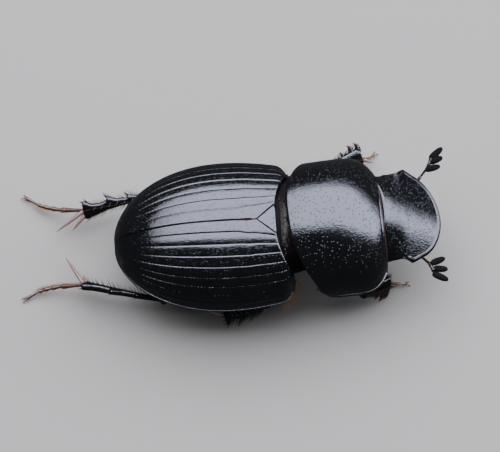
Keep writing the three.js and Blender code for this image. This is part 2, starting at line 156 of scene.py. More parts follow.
def in_scene(name, data):
    """A new object in the scene, around a mesh, a light or a camera."""
    thing = bpy.data.objects.new(name, data)
    bpy.context.scene.collection.objects.link(thing)
    return thing


def keep_at_points(mesh, label, numbers):
    """Keeps one number, or three, at each point of a mesh."""
    numbers = np.asarray(numbers, float)
    kind, field = ("FLOAT_VECTOR", "vector") if numbers.ndim == 2 else ("FLOAT", "value")
    mesh.attributes.new(label, kind, "POINT").data.foreach_set(field, numbers.ravel())


def new_piece(name, skins, material, place=WORLD, sharp_over=50.0, **values):
    """One object from closed skins in millimetres. Values are numbers kept at each point."""
    points, faces, first = [], [], 0
    for skin_points, skin_faces in skins:
        points.append(skin_points)
        faces += [[first + corner for corner in face] for face in skin_faces]
        first += len(skin_points)
    mesh = bpy.data.meshes.new(name)
    mesh.from_pydata((np.concatenate(points) * MM).tolist(), [], faces)
    to_world = place.copy()
    to_world.translation = place.translation * MM
    mesh.transform(to_world)
    work = bmesh.new()
    work.from_mesh(mesh)
    bmesh.ops.recalc_face_normals(work, faces=work.faces)
    work.to_mesh(mesh)
    work.free()
    for label, numbers in values.items():
        padded = np.zeros(len(mesh.vertices))
        padded[: len(numbers)] = numbers
        keep_at_points(mesh, label, padded)
    mesh.shade_smooth()
    mesh.set_sharp_from_angle(angle=math.radians(sharp_over))
    mesh.materials.append(material)
    return in_scene(name, mesh)


def hand_in(piece, slot, *nodes):
    """Every finished piece rides with the body and stands for its solids."""
    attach(piece, "root")
    if nodes:
        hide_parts(*nodes)
    piece.data.calc_loop_triangles()
    print(f"{piece.name}: {len(piece.data.loop_triangles)} triangles")


# %% One node at a time
def fill(tree, node, values):
    """Gives inputs, by name or number, a number, a socket or a node's first output."""
    for socket, value in values.items():
        if isinstance(value, bpy.types.Node):
            value = value.outputs[0]
        if isinstance(value, bpy.types.NodeSocket):
            tree.links.new(value, node.inputs[socket])
        else:
            node.inputs[socket].default_value = value


def add(tree, kind, values=None, **settings):
    """Adds one node, with its settings, and fills its inputs."""
    node = tree.nodes.new(kind)
    for name, setting in settings.items():
        setattr(node, name, setting)
    fill(tree, node, values or {})
    return node


def calc(tree, operation, *values):
    """One step of arithmetic."""
    return add(tree, "ShaderNodeMath", dict(enumerate(values)), operation=operation)


def arrow_calc(tree, operation, *arrows):
    """One step of arithmetic with vectors."""
    return add(tree, "ShaderNodeVectorMath", dict(enumerate(arrows)), operation=operation)


def scaled(tree, arrow, factor):
    return add(tree, "ShaderNodeVectorMath", {0: arrow, "Scale": factor}, operation="SCALE")


def parts_of(tree, arrow):
    """The X, Y and Z of a vector."""
    return add(tree, "ShaderNodeSeparateXYZ", {0: arrow}).outputs


def soft_step(tree, value, start, stop, low=0.0, high=1.0):
    """A smooth change from low to high, while the value goes from start to stop."""
    return add(tree, "ShaderNodeMapRange", {"Value": value, "From Min": start, "From Max": stop,
                                            "To Min": low, "To Max": high}, interpolation_type="SMOOTHSTEP")


def noise(tree, place, scale, detail):
    """A soft random pattern, with scale patches to the millimetre."""
    return add(tree, "ShaderNodeTexNoise", {"Vector": place, "Scale": scale, "Detail": detail})


def mix(tree, factor, first, second):
    """A colour between two colours."""
    return add(tree, "ShaderNodeMix", {"Factor": factor, 6: first, 7: second}, data_type="RGBA").outputs[2]


def bump(tree, height, distance, **settings):
    """A bump that turns the surface as a relief of this height, in mm, would."""
    return add(tree, "ShaderNodeBump", {"Height": height, "Distance": distance * MM}, **settings)


def linear(hex_colour):
    """A colour written as sRGB hex, as the linear colour that shaders use."""
    parts = [int(hex_colour[i : i + 2], 16) / 255 for i in (1, 3, 5)]
    return [p / 12.92 if p <= 0.04045 else ((p + 0.055) / 1.055) ** 2.4 for p in parts] + [1.0]


def paler(hex_colour, times):
    return [times * part for part in linear(hex_colour)[:3]] + [1.0]


# %% [markdown]
# ## Chitin
#
# The armour is chitin hardened with protein and laid in thin sheets, with a waxy polish on top. It
# is a clear, horn-like stuff (IOR about 1.56) coloured through by melanin, so where it is thick it
# is black with a sharp reflection, and where it is thin, as on feet, spurs and plate edges, it
# turns chestnut and lets light through. The polish is broken by a fine leathery grain of about
# 0.02 mm and by tiny pits, which show as dark dots in a bright reflection and as bright dots in a
# dark one. Both are bump: the pits that are wide enough to see as shapes are cut into the mesh
# further down.

# %% The polished black chitin of the plates
def millimetres(tree):
    """Object coordinates counted in millimetres."""
    place = add(tree, "ShaderNodeTexCoord").outputs["Object"]
    return add(tree, "ShaderNodeMapping", {"Vector": place, "Scale": (1000, 1000, 1000)})


def new_material(name):
    material = bpy.data.materials.new(name)
    material.use_nodes = True
    tree = material.node_tree
    tree.nodes.clear()
    shader = add(tree, "ShaderNodeBsdfPrincipled")
    add(tree, "ShaderNodeOutputMaterial", {"Surface": shader})
    return material, tree, shader


def pit_cells(tree, place, spacing, **values):
    """The distance from the nearest of many scattered dots, which stand this far apart, in mm."""
    return add(tree, "ShaderNodeTexVoronoi", {"Vector": place, "Scale": 1 / spacing, **values})


def thinness(tree):
    """How thin the chitin is, as the piece keeps it at its points."""
    return add(tree, "ShaderNodeAttribute", attribute_name="thin").outputs["Fac"]


CHITIN_IOR = 1.56
GRAIN_HEIGHT, WAVE_HEIGHT = 0.0045, 0.009  # of the leathery grain and of the slow waves in the polish


def polished_chitin(name, colour, pit_spacing, pit_depth, roughness=0.12, thin_colour="#4a2c20",
                    grain_share=1.0, grain_scale=15.0, pit_reach=0.2, gloss=0.5):
    """Mirror-like chitin. Where a piece keeps "thin" at its points, the thin colour shows."""
    material, tree, shader = new_material(name)
    place = millimetres(tree)
    cloud = noise(tree, place, 1.6, 3.0)
    tint = mix(tree, cloud, linear(colour), paler(colour, 2.2))
    stained = mix(tree, thinness(tree), tint, linear(thin_colour))
    wear = calc(tree, "MULTIPLY", calc(tree, "MULTIPLY_ADD", cloud, 0.5, 0.8), roughness)
    pit = soft_step(tree, pit_cells(tree, place, pit_spacing), 0.06, pit_reach)
    grain, wave = noise(tree, place, grain_scale, 1.5), noise(tree, place, 2.2, 1.0)
    grained = calc(tree, "MULTIPLY_ADD", grain, grain_share * GRAIN_HEIGHT / pit_depth, pit)
    height = calc(tree, "MULTIPLY_ADD", wave, WAVE_HEIGHT / pit_depth, grained)
    fill(tree, shader, {"Base Color": stained, "Roughness": wear, "Normal": bump(tree, height, pit_depth),
                        "IOR": CHITIN_IOR, "Specular IOR Level": gloss})
    return material


BLACK = "#08080a"
CASE_CHITIN = polished_chitin("polished black chitin of the wing cases", BLACK, 0.075, 0.006, pit_reach=0.3)
SHIELD_CHITIN = polished_chitin("polished black chitin of the shield", BLACK, 0.1, 0.0118,
                                thin_colour="#58403a", grain_share=1.5, grain_scale=17.0, pit_reach=0.27)
HEAD_CHITIN = polished_chitin("finely wrinkled black chitin of the head", BLACK, 0.08, 0.008,
                              grain_share=1.7, grain_scale=20.0, pit_reach=0.32)
print("materials so far:", [m.name for m in bpy.data.materials])

# %% [markdown]
# ## Wing cases
#
# Each wing case is half of a long dome. Its outline seen from above, its side edge and its ridge
# are three short formulas, and every section between rim and seam is a quarter of an ellipse. The
# base is cut back for the scutellum and rolls over in a small rounded edge, and the side edge is a
# round bead. The plate is made here as plain rings. The nine grooves come after it, as Geometry
# Nodes, because they follow one rule: a groove at every 9.1 degrees round the section, with a row
# of pits in it. A tenth groove lies hidden along the rim and isn't made.

# %% The shape of a wing case
def case_half_width(u):
    rear = share((CASE_WIDEST - u) / CASE_WIDEST)
    front = share((u - CASE_WIDEST) / (CASE_REACH - CASE_WIDEST))
    behind = (1 - rear**2.1) ** (1 / 1.95)
    ahead = 1 - 0.1 * front**1.8 - 0.11 * share((front - 0.8) / 0.2) ** 2.5
    return CASE_HALF * np.where(u < CASE_WIDEST, behind, ahead)


def case_rim(u):
    return CASE_RIM - (CASE_RIM - CASE_RIM_TIP) * share(1 - u / 2) ** 2


def case_ridge(u):
    low = CASE_RIM_TIP + 0.1
    arc = np.sqrt(1 - share((CASE_HIGHEST - u) / CASE_HIGHEST) ** 2)
    return low + (CASE_RIDGE - low) * arc - CASE_RIDGE_FALL * share((u - CASE_HIGHEST) / 3) ** 2


def case_base(across):
    notch = share(1 - np.abs(across) * CASE_HALF / SCUTELLUM_HALF)
    bow = across**2 - 0.35 * across**8
    return CASE_LENGTH + CASE_SHOULDER * bow - (SCUTELLUM_LENGTH - SCUTELLUM_STEP) * notch


def edge_drop(distance, radius):
    """How far a rounded edge of this radius lies below its plate, by the distance from the edge."""
    left = radius - share(distance / radius) * radius
    return radius - np.sqrt(radius**2 - left**2)


def rolled_rim(out, level, radius, degrees):
    """Points (outwards, up) on a round rolled rim about a centre."""
    return [(out + radius * math.cos(math.radians(a)), level + radius * math.sin(math.radians(a)))
            for a in degrees]


CASE_EDGE = 0.1  # radius of the rounded base edge
CASE_THICK = 0.12  # of the plate at its rim
STRIA_SWING = 5.5  # degrees by which the first grooves swing out to pass round the scutellum
SWING_ENDS = 1.4  # and how far behind the base they run straight again
SEAM_SHUT, SEAM_OPEN = 0.008, 0.036  # half the gap of the seam, where it is shut and where it gapes
SEAM_GAPE_AT = 0.3  # the place of the gape, behind the tip of the scutellum
CASE_BEAD = rolled_rim(0.02, 0.01, 0.05, (140, 115, 90, 65, 40, 10, -30, -70))
CASE_BEAD += [(-0.09, -0.1), (-0.3, -CASE_THICK)]


def wing_case(side):
    angles = np.linspace(0, CASE_SPAN, 169)
    share_along = np.concatenate([np.linspace(0, 0.96, 190), np.linspace(0.962, 1, 26)])[:, None]
    run = share_along**1.6
    behind_base = (1 - run) * CASE_LENGTH
    count = angles / STRIA_STEP
    swing = STRIA_SWING * count * np.exp(1.6 * (1 - count)) * share(1 - behind_base / SWING_ENDS) ** 1.5
    across = np.sin(np.radians(angles + swing))
    up = np.cos(np.radians(angles + swing))
    forward = CASE_TIP + run * (case_base(across) - CASE_TIP)
    half, rim, ridge = case_half_width(forward), case_rim(forward), case_ridge(forward)
    beside_scutellum = share(1.4 - across * CASE_HALF / SCUTELLUM_HALF)
    drop = edge_drop(behind_base, CASE_EDGE * (1 - 0.75 * beside_scutellum))
    seam_edge = 0.012 * share(1 - angles / 0.5)
    height = rim + (ridge - rim) * up - drop * up - seam_edge
    scutellum_tip = CASE_LENGTH - SCUTELLUM_LENGTH + SCUTELLUM_STEP
    behind_tip = scutellum_tip - forward
    gape_reach = np.where(behind_tip > SEAM_GAPE_AT, 0.3, 0.12)
    gape = np.exp(-(((behind_tip - SEAM_GAPE_AT) / gape_reach) ** 2))
    seam = SEAM_SHUT + 0.008 * smooth(1 - behind_tip / 2.2) + (SEAM_OPEN - SEAM_SHUT) * gape
    top = np.stack([forward, seam * (1 - across) + half * across, height], -1)
    edge_half, edge_rim, seam_x = half[:, -1], rim[:, -1], forward[:, 0]
    under = edge_rim - CASE_THICK
    at_rim = [(forward[:, -1], edge_half + out * share(edge_half / 0.5), edge_rim + level)
              for out, level in CASE_BEAD]
    inner = [(CASE_TIP + run[:, 0] * (case_base(a) - CASE_TIP), seam[:, 0] + edge_half * a, under)
             for a in (0.6, 0.3, 0.0)]
    wall = [(seam_x, seam[:, 0], under + (height[:, 0] - under) * lift) for lift in (0.4, 0.8)]
    rest = [np.stack(column, -1)[:, None, :] for column in at_rim + inner + wall]
    rings = np.concatenate([top] + rest, axis=1)
    rings[..., 1] *= side
    ring_angle = np.concatenate([angles, np.full(len(rest), 200.0)])
    kept_at_ends = share(run * 6) ** 0.7 * share(behind_base / 0.12)
    deeper_on_flank = 1 + (-0.1 if side > 0 else 0.45) * smooth((ring_angle - 30) / 30)
    return new_piece(f"wing_case_{side_name(side)}", [closed_skin(rings)], CASE_CHITIN, HIND,
                     forward=rings[..., 0].ravel(),
                     angle=np.broadcast_to(ring_angle, rings.shape[:2]).ravel(),
                     depth_share=(kept_at_ends * deeper_on_flank).ravel())


cases = {side_name(side): wing_case(side) for side in (1, -1)}
print("plain wing cases:", [len(case.data.vertices) for case in cases.values()], "points each")

# %% [markdown]
# ### Grooves as a rule
#
# The tree reads the angle that was kept at each point and rounds it to the nearest groove. Points
# close to a groove sink along their normal, with a smooth profile, and a sine along the wing case
# deepens the groove into a row of pits. The strips between the grooves bulge a little, as the
# points near a groove are let down. The same tree serves both wing cases.

# %% Geometry Nodes: the grooves
def new_tree(name, **inputs):
    """A node tree with geometry in and out, and one named input for each size."""
    tree = bpy.data.node_groups.new(name, "GeometryNodeTree")
    tree.interface.new_socket("Geometry", in_out="INPUT", socket_type="NodeSocketGeometry")
    kinds = {float: "NodeSocketFloat", int: "NodeSocketInt", bpy.types.Material: "NodeSocketMaterial"}
    for label, value in inputs.items():
        socket = tree.interface.new_socket(label, in_out="INPUT", socket_type=kinds[type(value)])
        socket.default_value = value
    tree.interface.new_socket("Geometry", in_out="OUTPUT", socket_type="NodeSocketGeometry")
    return tree, add(tree, "NodeGroupInput").outputs


def at_point(tree, name, kind="FLOAT"):
    """What a piece keeps at each point, under this name."""
    return add(tree, "GeometryNodeInputNamedAttribute", {"Name": name}, data_type=kind)


def sunk(tree, geometry, depth):
    """Moves each point inwards along its normal by a depth in mm."""
    shift = scaled(tree, add(tree, "GeometryNodeInputNormal"), calc(tree, "MULTIPLY", depth, -MM))
    return add(tree, "GeometryNodeSetPosition", {"Geometry": geometry, "Offset": shift})


def end_tree(tree, geometry, material):
    real = add(tree, "GeometryNodeRealizeInstances", {"Geometry": geometry})
    painted = add(tree, "GeometryNodeSetMaterial", {"Geometry": real, "Material": material})
    add(tree, "NodeGroupOutput", {"Geometry": painted})


def apply_tree(piece, tree, **values):
    """Runs a tree on the piece with these inputs, and keeps the result as its plain mesh."""
    modifier = piece.modifiers.new(tree.name, "NODES")
    modifier.node_group = tree
    for item in tree.interface.items_tree:
        if item.in_out == "INPUT" and item.name in values:
            modifier[item.identifier] = values[item.name]
    evaluated = piece.evaluated_get(bpy.context.evaluated_depsgraph_get())
    result = bpy.data.meshes.new_from_object(evaluated)
    piece.modifiers.clear()
    piece.data = result
    result.name = piece.name
    return piece


def groove_tree():
    tree, size = new_tree("Grooves", step=STRIA_STEP, count=STRIAE, width=0.66, depth=0.02, pit_spacing=0.12,
                          pit_share=0.35, vault=0.008, material=CASE_CHITIN)
    fade = at_point(tree, "depth_share")
    turn = calc(tree, "DIVIDE", at_point(tree, "angle"), size["step"])
    nearest = calc(tree, "ROUND", turn)
    away = calc(tree, "ABSOLUTE", calc(tree, "SUBTRACT", turn, nearest))
    near = soft_step(tree, calc(tree, "MULTIPLY", away, size["step"]), 0.0, size["width"], 1.0, 0.0)
    past_seam = calc(tree, "GREATER_THAN", nearest, 0.5)
    before_rim = calc(tree, "LESS_THAN", turn, calc(tree, "ADD", size["count"], 0.5))
    here = calc(tree, "MULTIPLY", past_seam, before_rim)
    beat = calc(tree, "DIVIDE", at_point(tree, "forward"), size["pit_spacing"])
    pits = calc(tree, "SINE", calc(tree, "MULTIPLY", beat, 2 * math.pi))
    deeper = calc(tree, "MULTIPLY_ADD", pits, size["pit_share"], 1.0)
    faded = calc(tree, "MULTIPLY", calc(tree, "MULTIPLY", near, here), fade)
    cut = calc(tree, "MULTIPLY", faded, deeper)
    to_groove = calc(tree, "MULTIPLY_ADD", away, -2.0, 1.0)
    vault = calc(tree, "MULTIPLY", calc(tree, "POWER", to_groove, 2.0), size["vault"])
    fading_vault = calc(tree, "MULTIPLY", vault, fade)
    depth = calc(tree, "MULTIPLY_ADD", cut, size["depth"], fading_vault)
    end_tree(tree, sunk(tree, size["Geometry"], depth), size["material"])
    return tree


GROOVES = groove_tree()
for side, case in cases.items():
    apply_tree(case, GROOVES, step=STRIA_STEP, count=STRIAE, material=CASE_CHITIN)
    hand_in(case, "black_shell", f"elytron_{side}")

# %% [markdown]
# ## Scutellum
#
# The small triangle between the bases of the wing cases is a plate of its own. It lies a hair lower
# than they do, with rounded edges, so that a dark line parts it from them. Behind its tip the seam
# of the wing cases stands open by a hair, and the red-brown skin under it shows.

# %% The scutellum
SCUTELLUM_GAP, SCUTELLUM_SUNK = 0.014, 0.025  # round it, and how much lower it lies
SEAM_SKIN_HALF, SEAM_SKIN_SUNK = 0.07, 0.09


def scutellum():
    tip = CASE_LENGTH - SCUTELLUM_LENGTH + SCUTELLUM_STEP
    along = np.linspace(0.05, 1.05, 40)[:, None]
    across = np.linspace(-1, 1, 41)[None, :]
    forward = tip + SCUTELLUM_LENGTH * 0.86 * along
    half = SCUTELLUM_HALF * (forward - tip) / (SCUTELLUM_LENGTH - SCUTELLUM_STEP) - SCUTELLUM_GAP
    half = np.minimum(half, 0.95 * SCUTELLUM_HALF)
    rounded = 0.03 * np.abs(across) ** 12 + 0.06 * share((along - 0.9) / 0.15) ** 2
    height = case_ridge(forward) - SCUTELLUM_SUNK - 0.04 * along**2 - rounded - 0.05 * across**2 * along**2
    top = grid(forward, half * across, height)
    below = (top[:, ::-1] * (1, 0.9, 1) - (0, 0, 0.4))[:, ::8]
    return new_piece("scutellum_plate", [closed_skin(np.concatenate([top, below], 1))], SHIELD_CHITIN, HIND)


hand_in(scutellum(), "black_shell", "scutellum")


def seam_skin():
    """Red-brown skin under the seam, which shows where the seam stands open behind the scutellum."""
    u = np.linspace(2.4, 5.3, 80)[:, None]
    turn = circle(10)[None, :]
    rings = grid(u, SEAM_SKIN_HALF * np.cos(turn), case_ridge(u) - SEAM_SKIN_SUNK + 0.03 * np.sin(turn))
    return new_piece("seam_skin", [closed_skin(rings)], SEAM_SKIN, HIND)


SEAM_SKIN = polished_chitin("red-brown skin under the seam", "#3a1218", 0.1, 0.004, 0.6, gloss=0.04)
hand_in(seam_skin(), "waist_membrane")

# %% [markdown]
# ## The shield of the fore body
#
# The pronotum is one plate from side to side, an arch that is widest behind its middle and falls
# towards the head. A raised bead runs along its sides, and a faint one along its front. Its widest
# pits are cut into the mesh: Geometry Nodes scatter points over the plate with a fixed seed, and
# each mesh point near one of them sinks into a small bowl. The finer pits between are bump.

# %% The shape of the shield
def shield_half_width(p):
    return SHIELD_HALF * (1 - 0.33 * share((p - SHIELD_WIDEST) / (SHIELD_LENGTH - SHIELD_WIDEST)) ** 3.5)


def shield_ridge(p):
    front = share((p - SHIELD_HIGHEST) / (SHIELD_LENGTH - SHIELD_HIGHEST)) ** 2.2
    rear = share(1 - p / SHIELD_HIGHEST) ** 2
    return SHIELD_RIDGE - (SHIELD_RIDGE - SHIELD_FRONT_RIDGE) * front - SHIELD_REAR_FALL * rear


BEAD_RADIUS = 0.035


def bead(distance):
    """Height of a round bead with a gutter inside it, by the distance from the edge of a plate."""
    round_top = BEAD_RADIUS * np.sqrt(1 - share(np.abs(distance / BEAD_RADIUS - 1)) ** 2)
    return round_top - 0.4 * BEAD_RADIUS * np.exp(-((distance / BEAD_RADIUS - 3) ** 2))


SIDE_BEAD = rolled_rim(0.01, 0.02, 0.058, (155, 130, 110, 90, 70, 45, 15, -20, -60))
SHIELD_EDGE = 0.07  # radius of the rounded front and rear edges


def arch_angles(count):
    """Angles from side to side of an arch, in radians. They stand closer together towards the sides."""
    t = np.linspace(-1, 1, count)
    return np.radians(90 * (0.25 * t + 0.75 * np.sin(np.pi / 2 * t)))[None, :]


def shield():
    angles = arch_angles(441)
    stretches = (np.linspace(0, 0.05, 14)[:-1], np.linspace(0.05, 0.96, 160), np.linspace(0.963, 1, 14))
    along = np.concatenate(stretches)[:, None]
    across, up = np.sin(angles), np.cos(angles)
    corner = share((np.abs(across) - 0.975) / 0.025)
    bow = SHIELD_REAR_BOW * np.abs(across) ** 2.8 + 0.2 * corner**1.5
    forward = bow + along * (SHIELD_LENGTH - bow)
    place = along * SHIELD_LENGTH
    half, ridge = shield_half_width(place), shield_ridge(place)
    from_rear, from_front = forward - bow, SHIELD_LENGTH - forward
    from_side = (np.pi / 2 - np.abs(angles)) * 2.0
    swell = 0.25 * bead(from_front) * share(from_side / 0.1) - 0.02 * np.exp(-((from_side / 0.07) ** 2))
    drop = edge_drop(np.minimum(from_rear, from_front), SHIELD_EDGE)
    side = half * across + (swell - 0.6 * drop) * across
    height = SHIELD_RIM + (ridge - SHIELD_RIM) * up + (swell - drop) * up
    top = grid(forward, side, height)
    rim = top[:, -1]
    way = np.gradient(rim[:, :2], axis=0)
    outward = np.stack([-way[:, 1], way[:, 0]], 1) / np.linalg.norm(way, axis=1, keepdims=True)
    grow = smooth((rim[:, :1] - rim[0, 0]) / 0.45) * smooth((rim[-1, 0] - rim[:, :1]) / 0.12)
    below = [rim + np.concatenate([outward * out, np.full_like(grow, level)], 1) * grow
             for out, level in SIDE_BEAD]
    below += [rim * (1, inwards, 1) - (0, 0, fall)
              for inwards, fall in ((0.985, 0.07), (0.95, 0.1), (0.85, 0.1), (0.4, 0.1))]
    below += [ring * (1, -1, 1) for ring in below[::-1]]
    below = np.stack(below, 1)
    rings = np.concatenate([top, below], 1)
    nothing = np.zeros(below.shape[:2])
    towards_sides = 0.4 + 0.6 * share(from_side.max() - np.broadcast_to(from_side, top.shape[:2]) - 0.9)
    keep = share(np.broadcast_to(from_side, top.shape[:2]) / 0.3) * smooth(from_rear / 0.25) * towards_sides
    thin = share(1 - np.abs(from_front - 0.02) / 0.03) * smooth(from_side / 0.8)
    return new_piece("shield_plate", [closed_skin(rings)], SHIELD_CHITIN, FORE,
                     pitted=np.concatenate([keep, nothing], 1).ravel(),
                     thin=np.concatenate([thin, nothing], 1).ravel())


# %% Geometry Nodes: pits scattered over a plate
def pit_tree():
    tree, size = new_tree("Pits", spacing=0.1, radius=0.02, depth=0.003, seed=3, material=SHIELD_CHITIN)
    pitted = at_point(tree, "pitted")
    apart = calc(tree, "MULTIPLY", size["spacing"], MM)
    most = calc(tree, "DIVIDE", 1.0, calc(tree, "POWER", apart, 2.0))
    points = add(tree, "GeometryNodeDistributePointsOnFaces",
                 {"Mesh": size["Geometry"], "Distance Min": apart, "Density Max": most,
                  "Density Factor": pitted, "Seed": size["seed"]}, distribute_method="POISSON")
    nearest = add(tree, "GeometryNodeProximity", {"Geometry": points}, target_element="POINTS")
    reach = calc(tree, "MULTIPLY", size["radius"], MM)
    bowl = soft_step(tree, nearest.outputs["Distance"], 0.0, reach, 1.0, 0.0)
    depth = calc(tree, "MULTIPLY", calc(tree, "MULTIPLY", bowl, pitted), size["depth"])
    end_tree(tree, sunk(tree, size["Geometry"], depth), size["material"])
    return tree


PITS = pit_tree()
plate = apply_tree(shield(), PITS, spacing=0.095, radius=0.021, depth=0.0031, seed=3, material=SHIELD_CHITIN)
hand_in(plate, "black_shell", "pronotum")

# %% [markdown]
# ## Head
#
# From above the head is a half disc, the clypeus, that a beetle uses as a shovel. Its edge is
# turned up in a thin bright rim. Behind it a small pointed cheek juts out on each side in front of
# the eye. The distance from the edge is measured on the same outline, so the rim follows it.

# %% The shape of the head
def head_half_width(x):
    into = share((x - CLYPEUS_FROM) / CLYPEUS_LENGTH)
    return HEAD_HALF * np.sqrt(1 - into**2.4)


def cheek(x):
    """How far the pointed cheek juts out past the outline."""
    return 0.14 * share(1 - np.abs(x - 1.06) / 0.4) ** 1.3


HEAD_TO = CLYPEUS_FROM + CLYPEUS_LENGTH - 0.004


def head_dome(x):
    return 0.46 - 0.24 * share(x / HEAD_TO) ** 1.2


HEAD_SKEW = 0.17  # how far the highest line moves to the right for each step forwards


def head_fall(x, y):
    """How far the vault of the head has fallen at y from the highest line, which runs a little askew."""
    from_top = y + HEAD_SKEW * x
    vault = 0.4 * (np.sqrt(from_top**2 + 0.95) - math.sqrt(0.95))
    front_of_shield = 1.42 * (1 - np.sqrt(1 - share(np.abs(y) / 1.7) ** 2))
    return vault + share(front_of_shield - vault) * (1 - smooth(x / 0.8))


def head_lean(x):
    """How far the neck end shifts to the right and narrows, as a share of the most it does."""
    return share((0.9 - x) / 0.9)


NECK_SHIFT, NECK_NARROWING = 0.12, 0.06
CLYPEUS_RIM = {"crest": 0.09, "width": 0.032, "height": 0.05, "drop": 0.06}
HEAD_UNDER = [(0.99, 0.09), (0.96, 0.12), (0.8, 0.13), (0.3, 0.13)]  # share of the half width, depth


def head_capsule():
    run = np.sin(np.linspace(0, np.pi / 2, 140))[:, None]
    angles = arch_angles(261)
    across, up = np.sin(angles), np.cos(angles)
    start = -0.3 * (1 - up) - math.tan(math.radians(HEAD_PITCH)) * head_dome(0) * up
    along = start + (HEAD_TO - start) * run
    half = head_half_width(along) - NECK_NARROWING * head_lean(along)
    side = half * across - NECK_SHIFT * head_lean(along)
    side = side + cheek(along) * np.sign(across) * smooth((np.abs(across) - 0.9) / 0.1)
    plan = np.stack([along + 0 * side, side], -1)
    outline = np.concatenate([plan[:, 0], plan[-1], plan[::-1, -1]])
    steps = outline[1:] - outline[:-1]
    from_edge = np.full(side.shape, np.inf)
    for x, y in np.concatenate([outline[:-1] + steps * part for part in (0, 0.25, 0.5, 0.75)]):
        from_edge = np.minimum(from_edge, np.hypot(plan[..., 0] - x, plan[..., 1] - y))
    crest, width = CLYPEUS_RIM["crest"], CLYPEUS_RIM["width"]
    rim = CLYPEUS_RIM["height"] * np.exp(-((np.maximum(from_edge - crest, 0) / width) ** 2))
    rim = rim - CLYPEUS_RIM["drop"] * share(1 - from_edge / crest) ** 1.3
    height = head_dome(along) - head_fall(along, side) + rim * smooth((along - 0.78) / 0.3)
    tucked = 0.05 * share(1 - run / 0.03) ** 2
    top = grid(along, side, height - tucked)
    edge = along[:, -1:]
    below = []
    for a, lower in HEAD_UNDER + [(-a, lower) for a, lower in HEAD_UNDER[::-1]]:
        half_here = head_half_width(edge) - NECK_NARROWING * head_lean(edge) + cheek(edge) * (abs(a) > 0.9)
        level = top[:, -1, 2:] * (1 + a) / 2 + top[:, 0, 2:] * (1 - a) / 2
        below.append(np.concatenate([edge, half_here * a - NECK_SHIFT * head_lean(edge), level - lower], 1))
    rings = np.concatenate([top, np.stack(below, 1)], 1)
    on_top = np.broadcast_to(share(from_edge / 0.2 - 0.8), top.shape[:2])
    pitted = np.concatenate([on_top, np.zeros((len(along), len(below)))], 1)
    return new_piece("head_capsule", [closed_skin(rings)], HEAD_CHITIN, HEAD, pitted=pitted.ravel())


capsule = apply_tree(head_capsule(), PITS, spacing=0.12, radius=0.022, depth=0.0042, seed=5,
                     material=HEAD_CHITIN)
hand_in(capsule, "black_shell", "head")

# %% [markdown]
# ## Eyes
#
# A beetle's eye is a dome of hundreds of tiny lenses. At this size the lenses are 0.03 mm across
# and only dull the gloss a little, so the dome is a plain egg and the lenses are bump.

# %% The eyes
LENS_SIZE = 0.03


def lens_material():
    material, tree, shader = new_material("glassy black eye lenses")
    cells = pit_cells(tree, millimetres(tree), LENS_SIZE, Randomness=0.25)
    fill(tree, shader, {"Base Color": linear("#0b0a0c"), "Roughness": 0.14, "IOR": CHITIN_IOR,
                        "Normal": bump(tree, cells, 0.006, invert=True)})
    return material


EYE_LENSES = lens_material()
EYE_PLACE, EYE_RADII = (0.45, 1.36, -0.38), (0.3, 0.22, 0.2)


def eye(side):
    down = np.linspace(0.06, np.pi - 0.06, 24)[:, None]
    turn = circle(32)[None, :]
    ball = grid(np.cos(down), np.sin(down) * np.cos(turn), np.sin(down) * np.sin(turn))
    rings = ball * EYE_RADII + np.array(EYE_PLACE) * (1, side, 1)
    return new_piece(f"eye_lenses_{side_name(side)}", [closed_skin(rings)], EYE_LENSES, HEAD)


for side in (1, -1):
    hand_in(eye(side), "eye", f"eye_{side_name(side)}")

# %% [markdown]
# ## The underside
#
# Under the plates hang the belly plates: six rings of the abdomen, the breastplate between the
# middle and hind legs, and the underside of the fore body. They are duller than the back, with
# coarse pits that each hold a hair. An arch that hangs down makes all of them, and each ring of
# the abdomen ends in a low step over the next.

# %% Semi-gloss chitin and the belly plates
def dull_chitin(name, colour, pit_spacing, pit_depth, roughness, gloss=0.5):
    material, tree, shader = new_material(name)
    place = millimetres(tree)
    tint = mix(tree, noise(tree, place, 2.5, 4.0), linear(colour), paler(colour, 1.9))
    pit = soft_step(tree, pit_cells(tree, place, pit_spacing), 0.1, 0.4)
    height = calc(tree, "MULTIPLY_ADD", noise(tree, place, 22.0, 3.0), 0.5, pit)
    fill(tree, shader, {"Base Color": tint, "Normal": bump(tree, height, pit_depth), "Roughness": roughness,
                        "IOR": CHITIN_IOR, "Specular IOR Level": gloss})
    return material


BELLY_CHITIN = dull_chitin("semi-gloss black-brown chitin of the belly", "#15100f", 0.16, 0.012, 0.32)


def hanging_plate(name, along, half, top, depth, place, steps=0):
    """A plate that hangs in an arch under a flat top. All sizes are arrays along the plate."""
    angles = np.linspace(-90, 90, 61)
    across, down = np.sin(np.radians(angles))[None, :], np.cos(np.radians(angles))[None, :]
    along, half, top, depth = (np.broadcast_to(v, along.shape)[:, None] for v in (along, half, top, depth))
    drop = depth * down**0.8
    if steps:
        turn = (along - along[0]) / (along[-1] - along[0]) * steps % 1
        drop = drop * (1 + 0.03 * (1 - smooth(turn / 0.12)) - 0.02 * turn)
    arch = grid(along, half * across, top - drop)
    cover = [np.concatenate([along, half * k, top + 0.01 * (1 - k * k)], 1) for k in (0.6, 0.2, -0.2, -0.6)]
    return new_piece(name, [closed_skin(np.concatenate([arch, np.stack(cover, 1)], 1))], BELLY_CHITIN, place)


def full_belly(u):
    """How full the belly is, as a share of its depth. It tapers towards the tip."""
    return np.sqrt(1 - share(1 - u / 2.6) ** 2.4)


def breast_front(u):
    """The front end of the breastplate rounds off towards the waist."""
    return np.sqrt(1 - 0.5 * share((u - 5.8) / 0.5) ** 3)


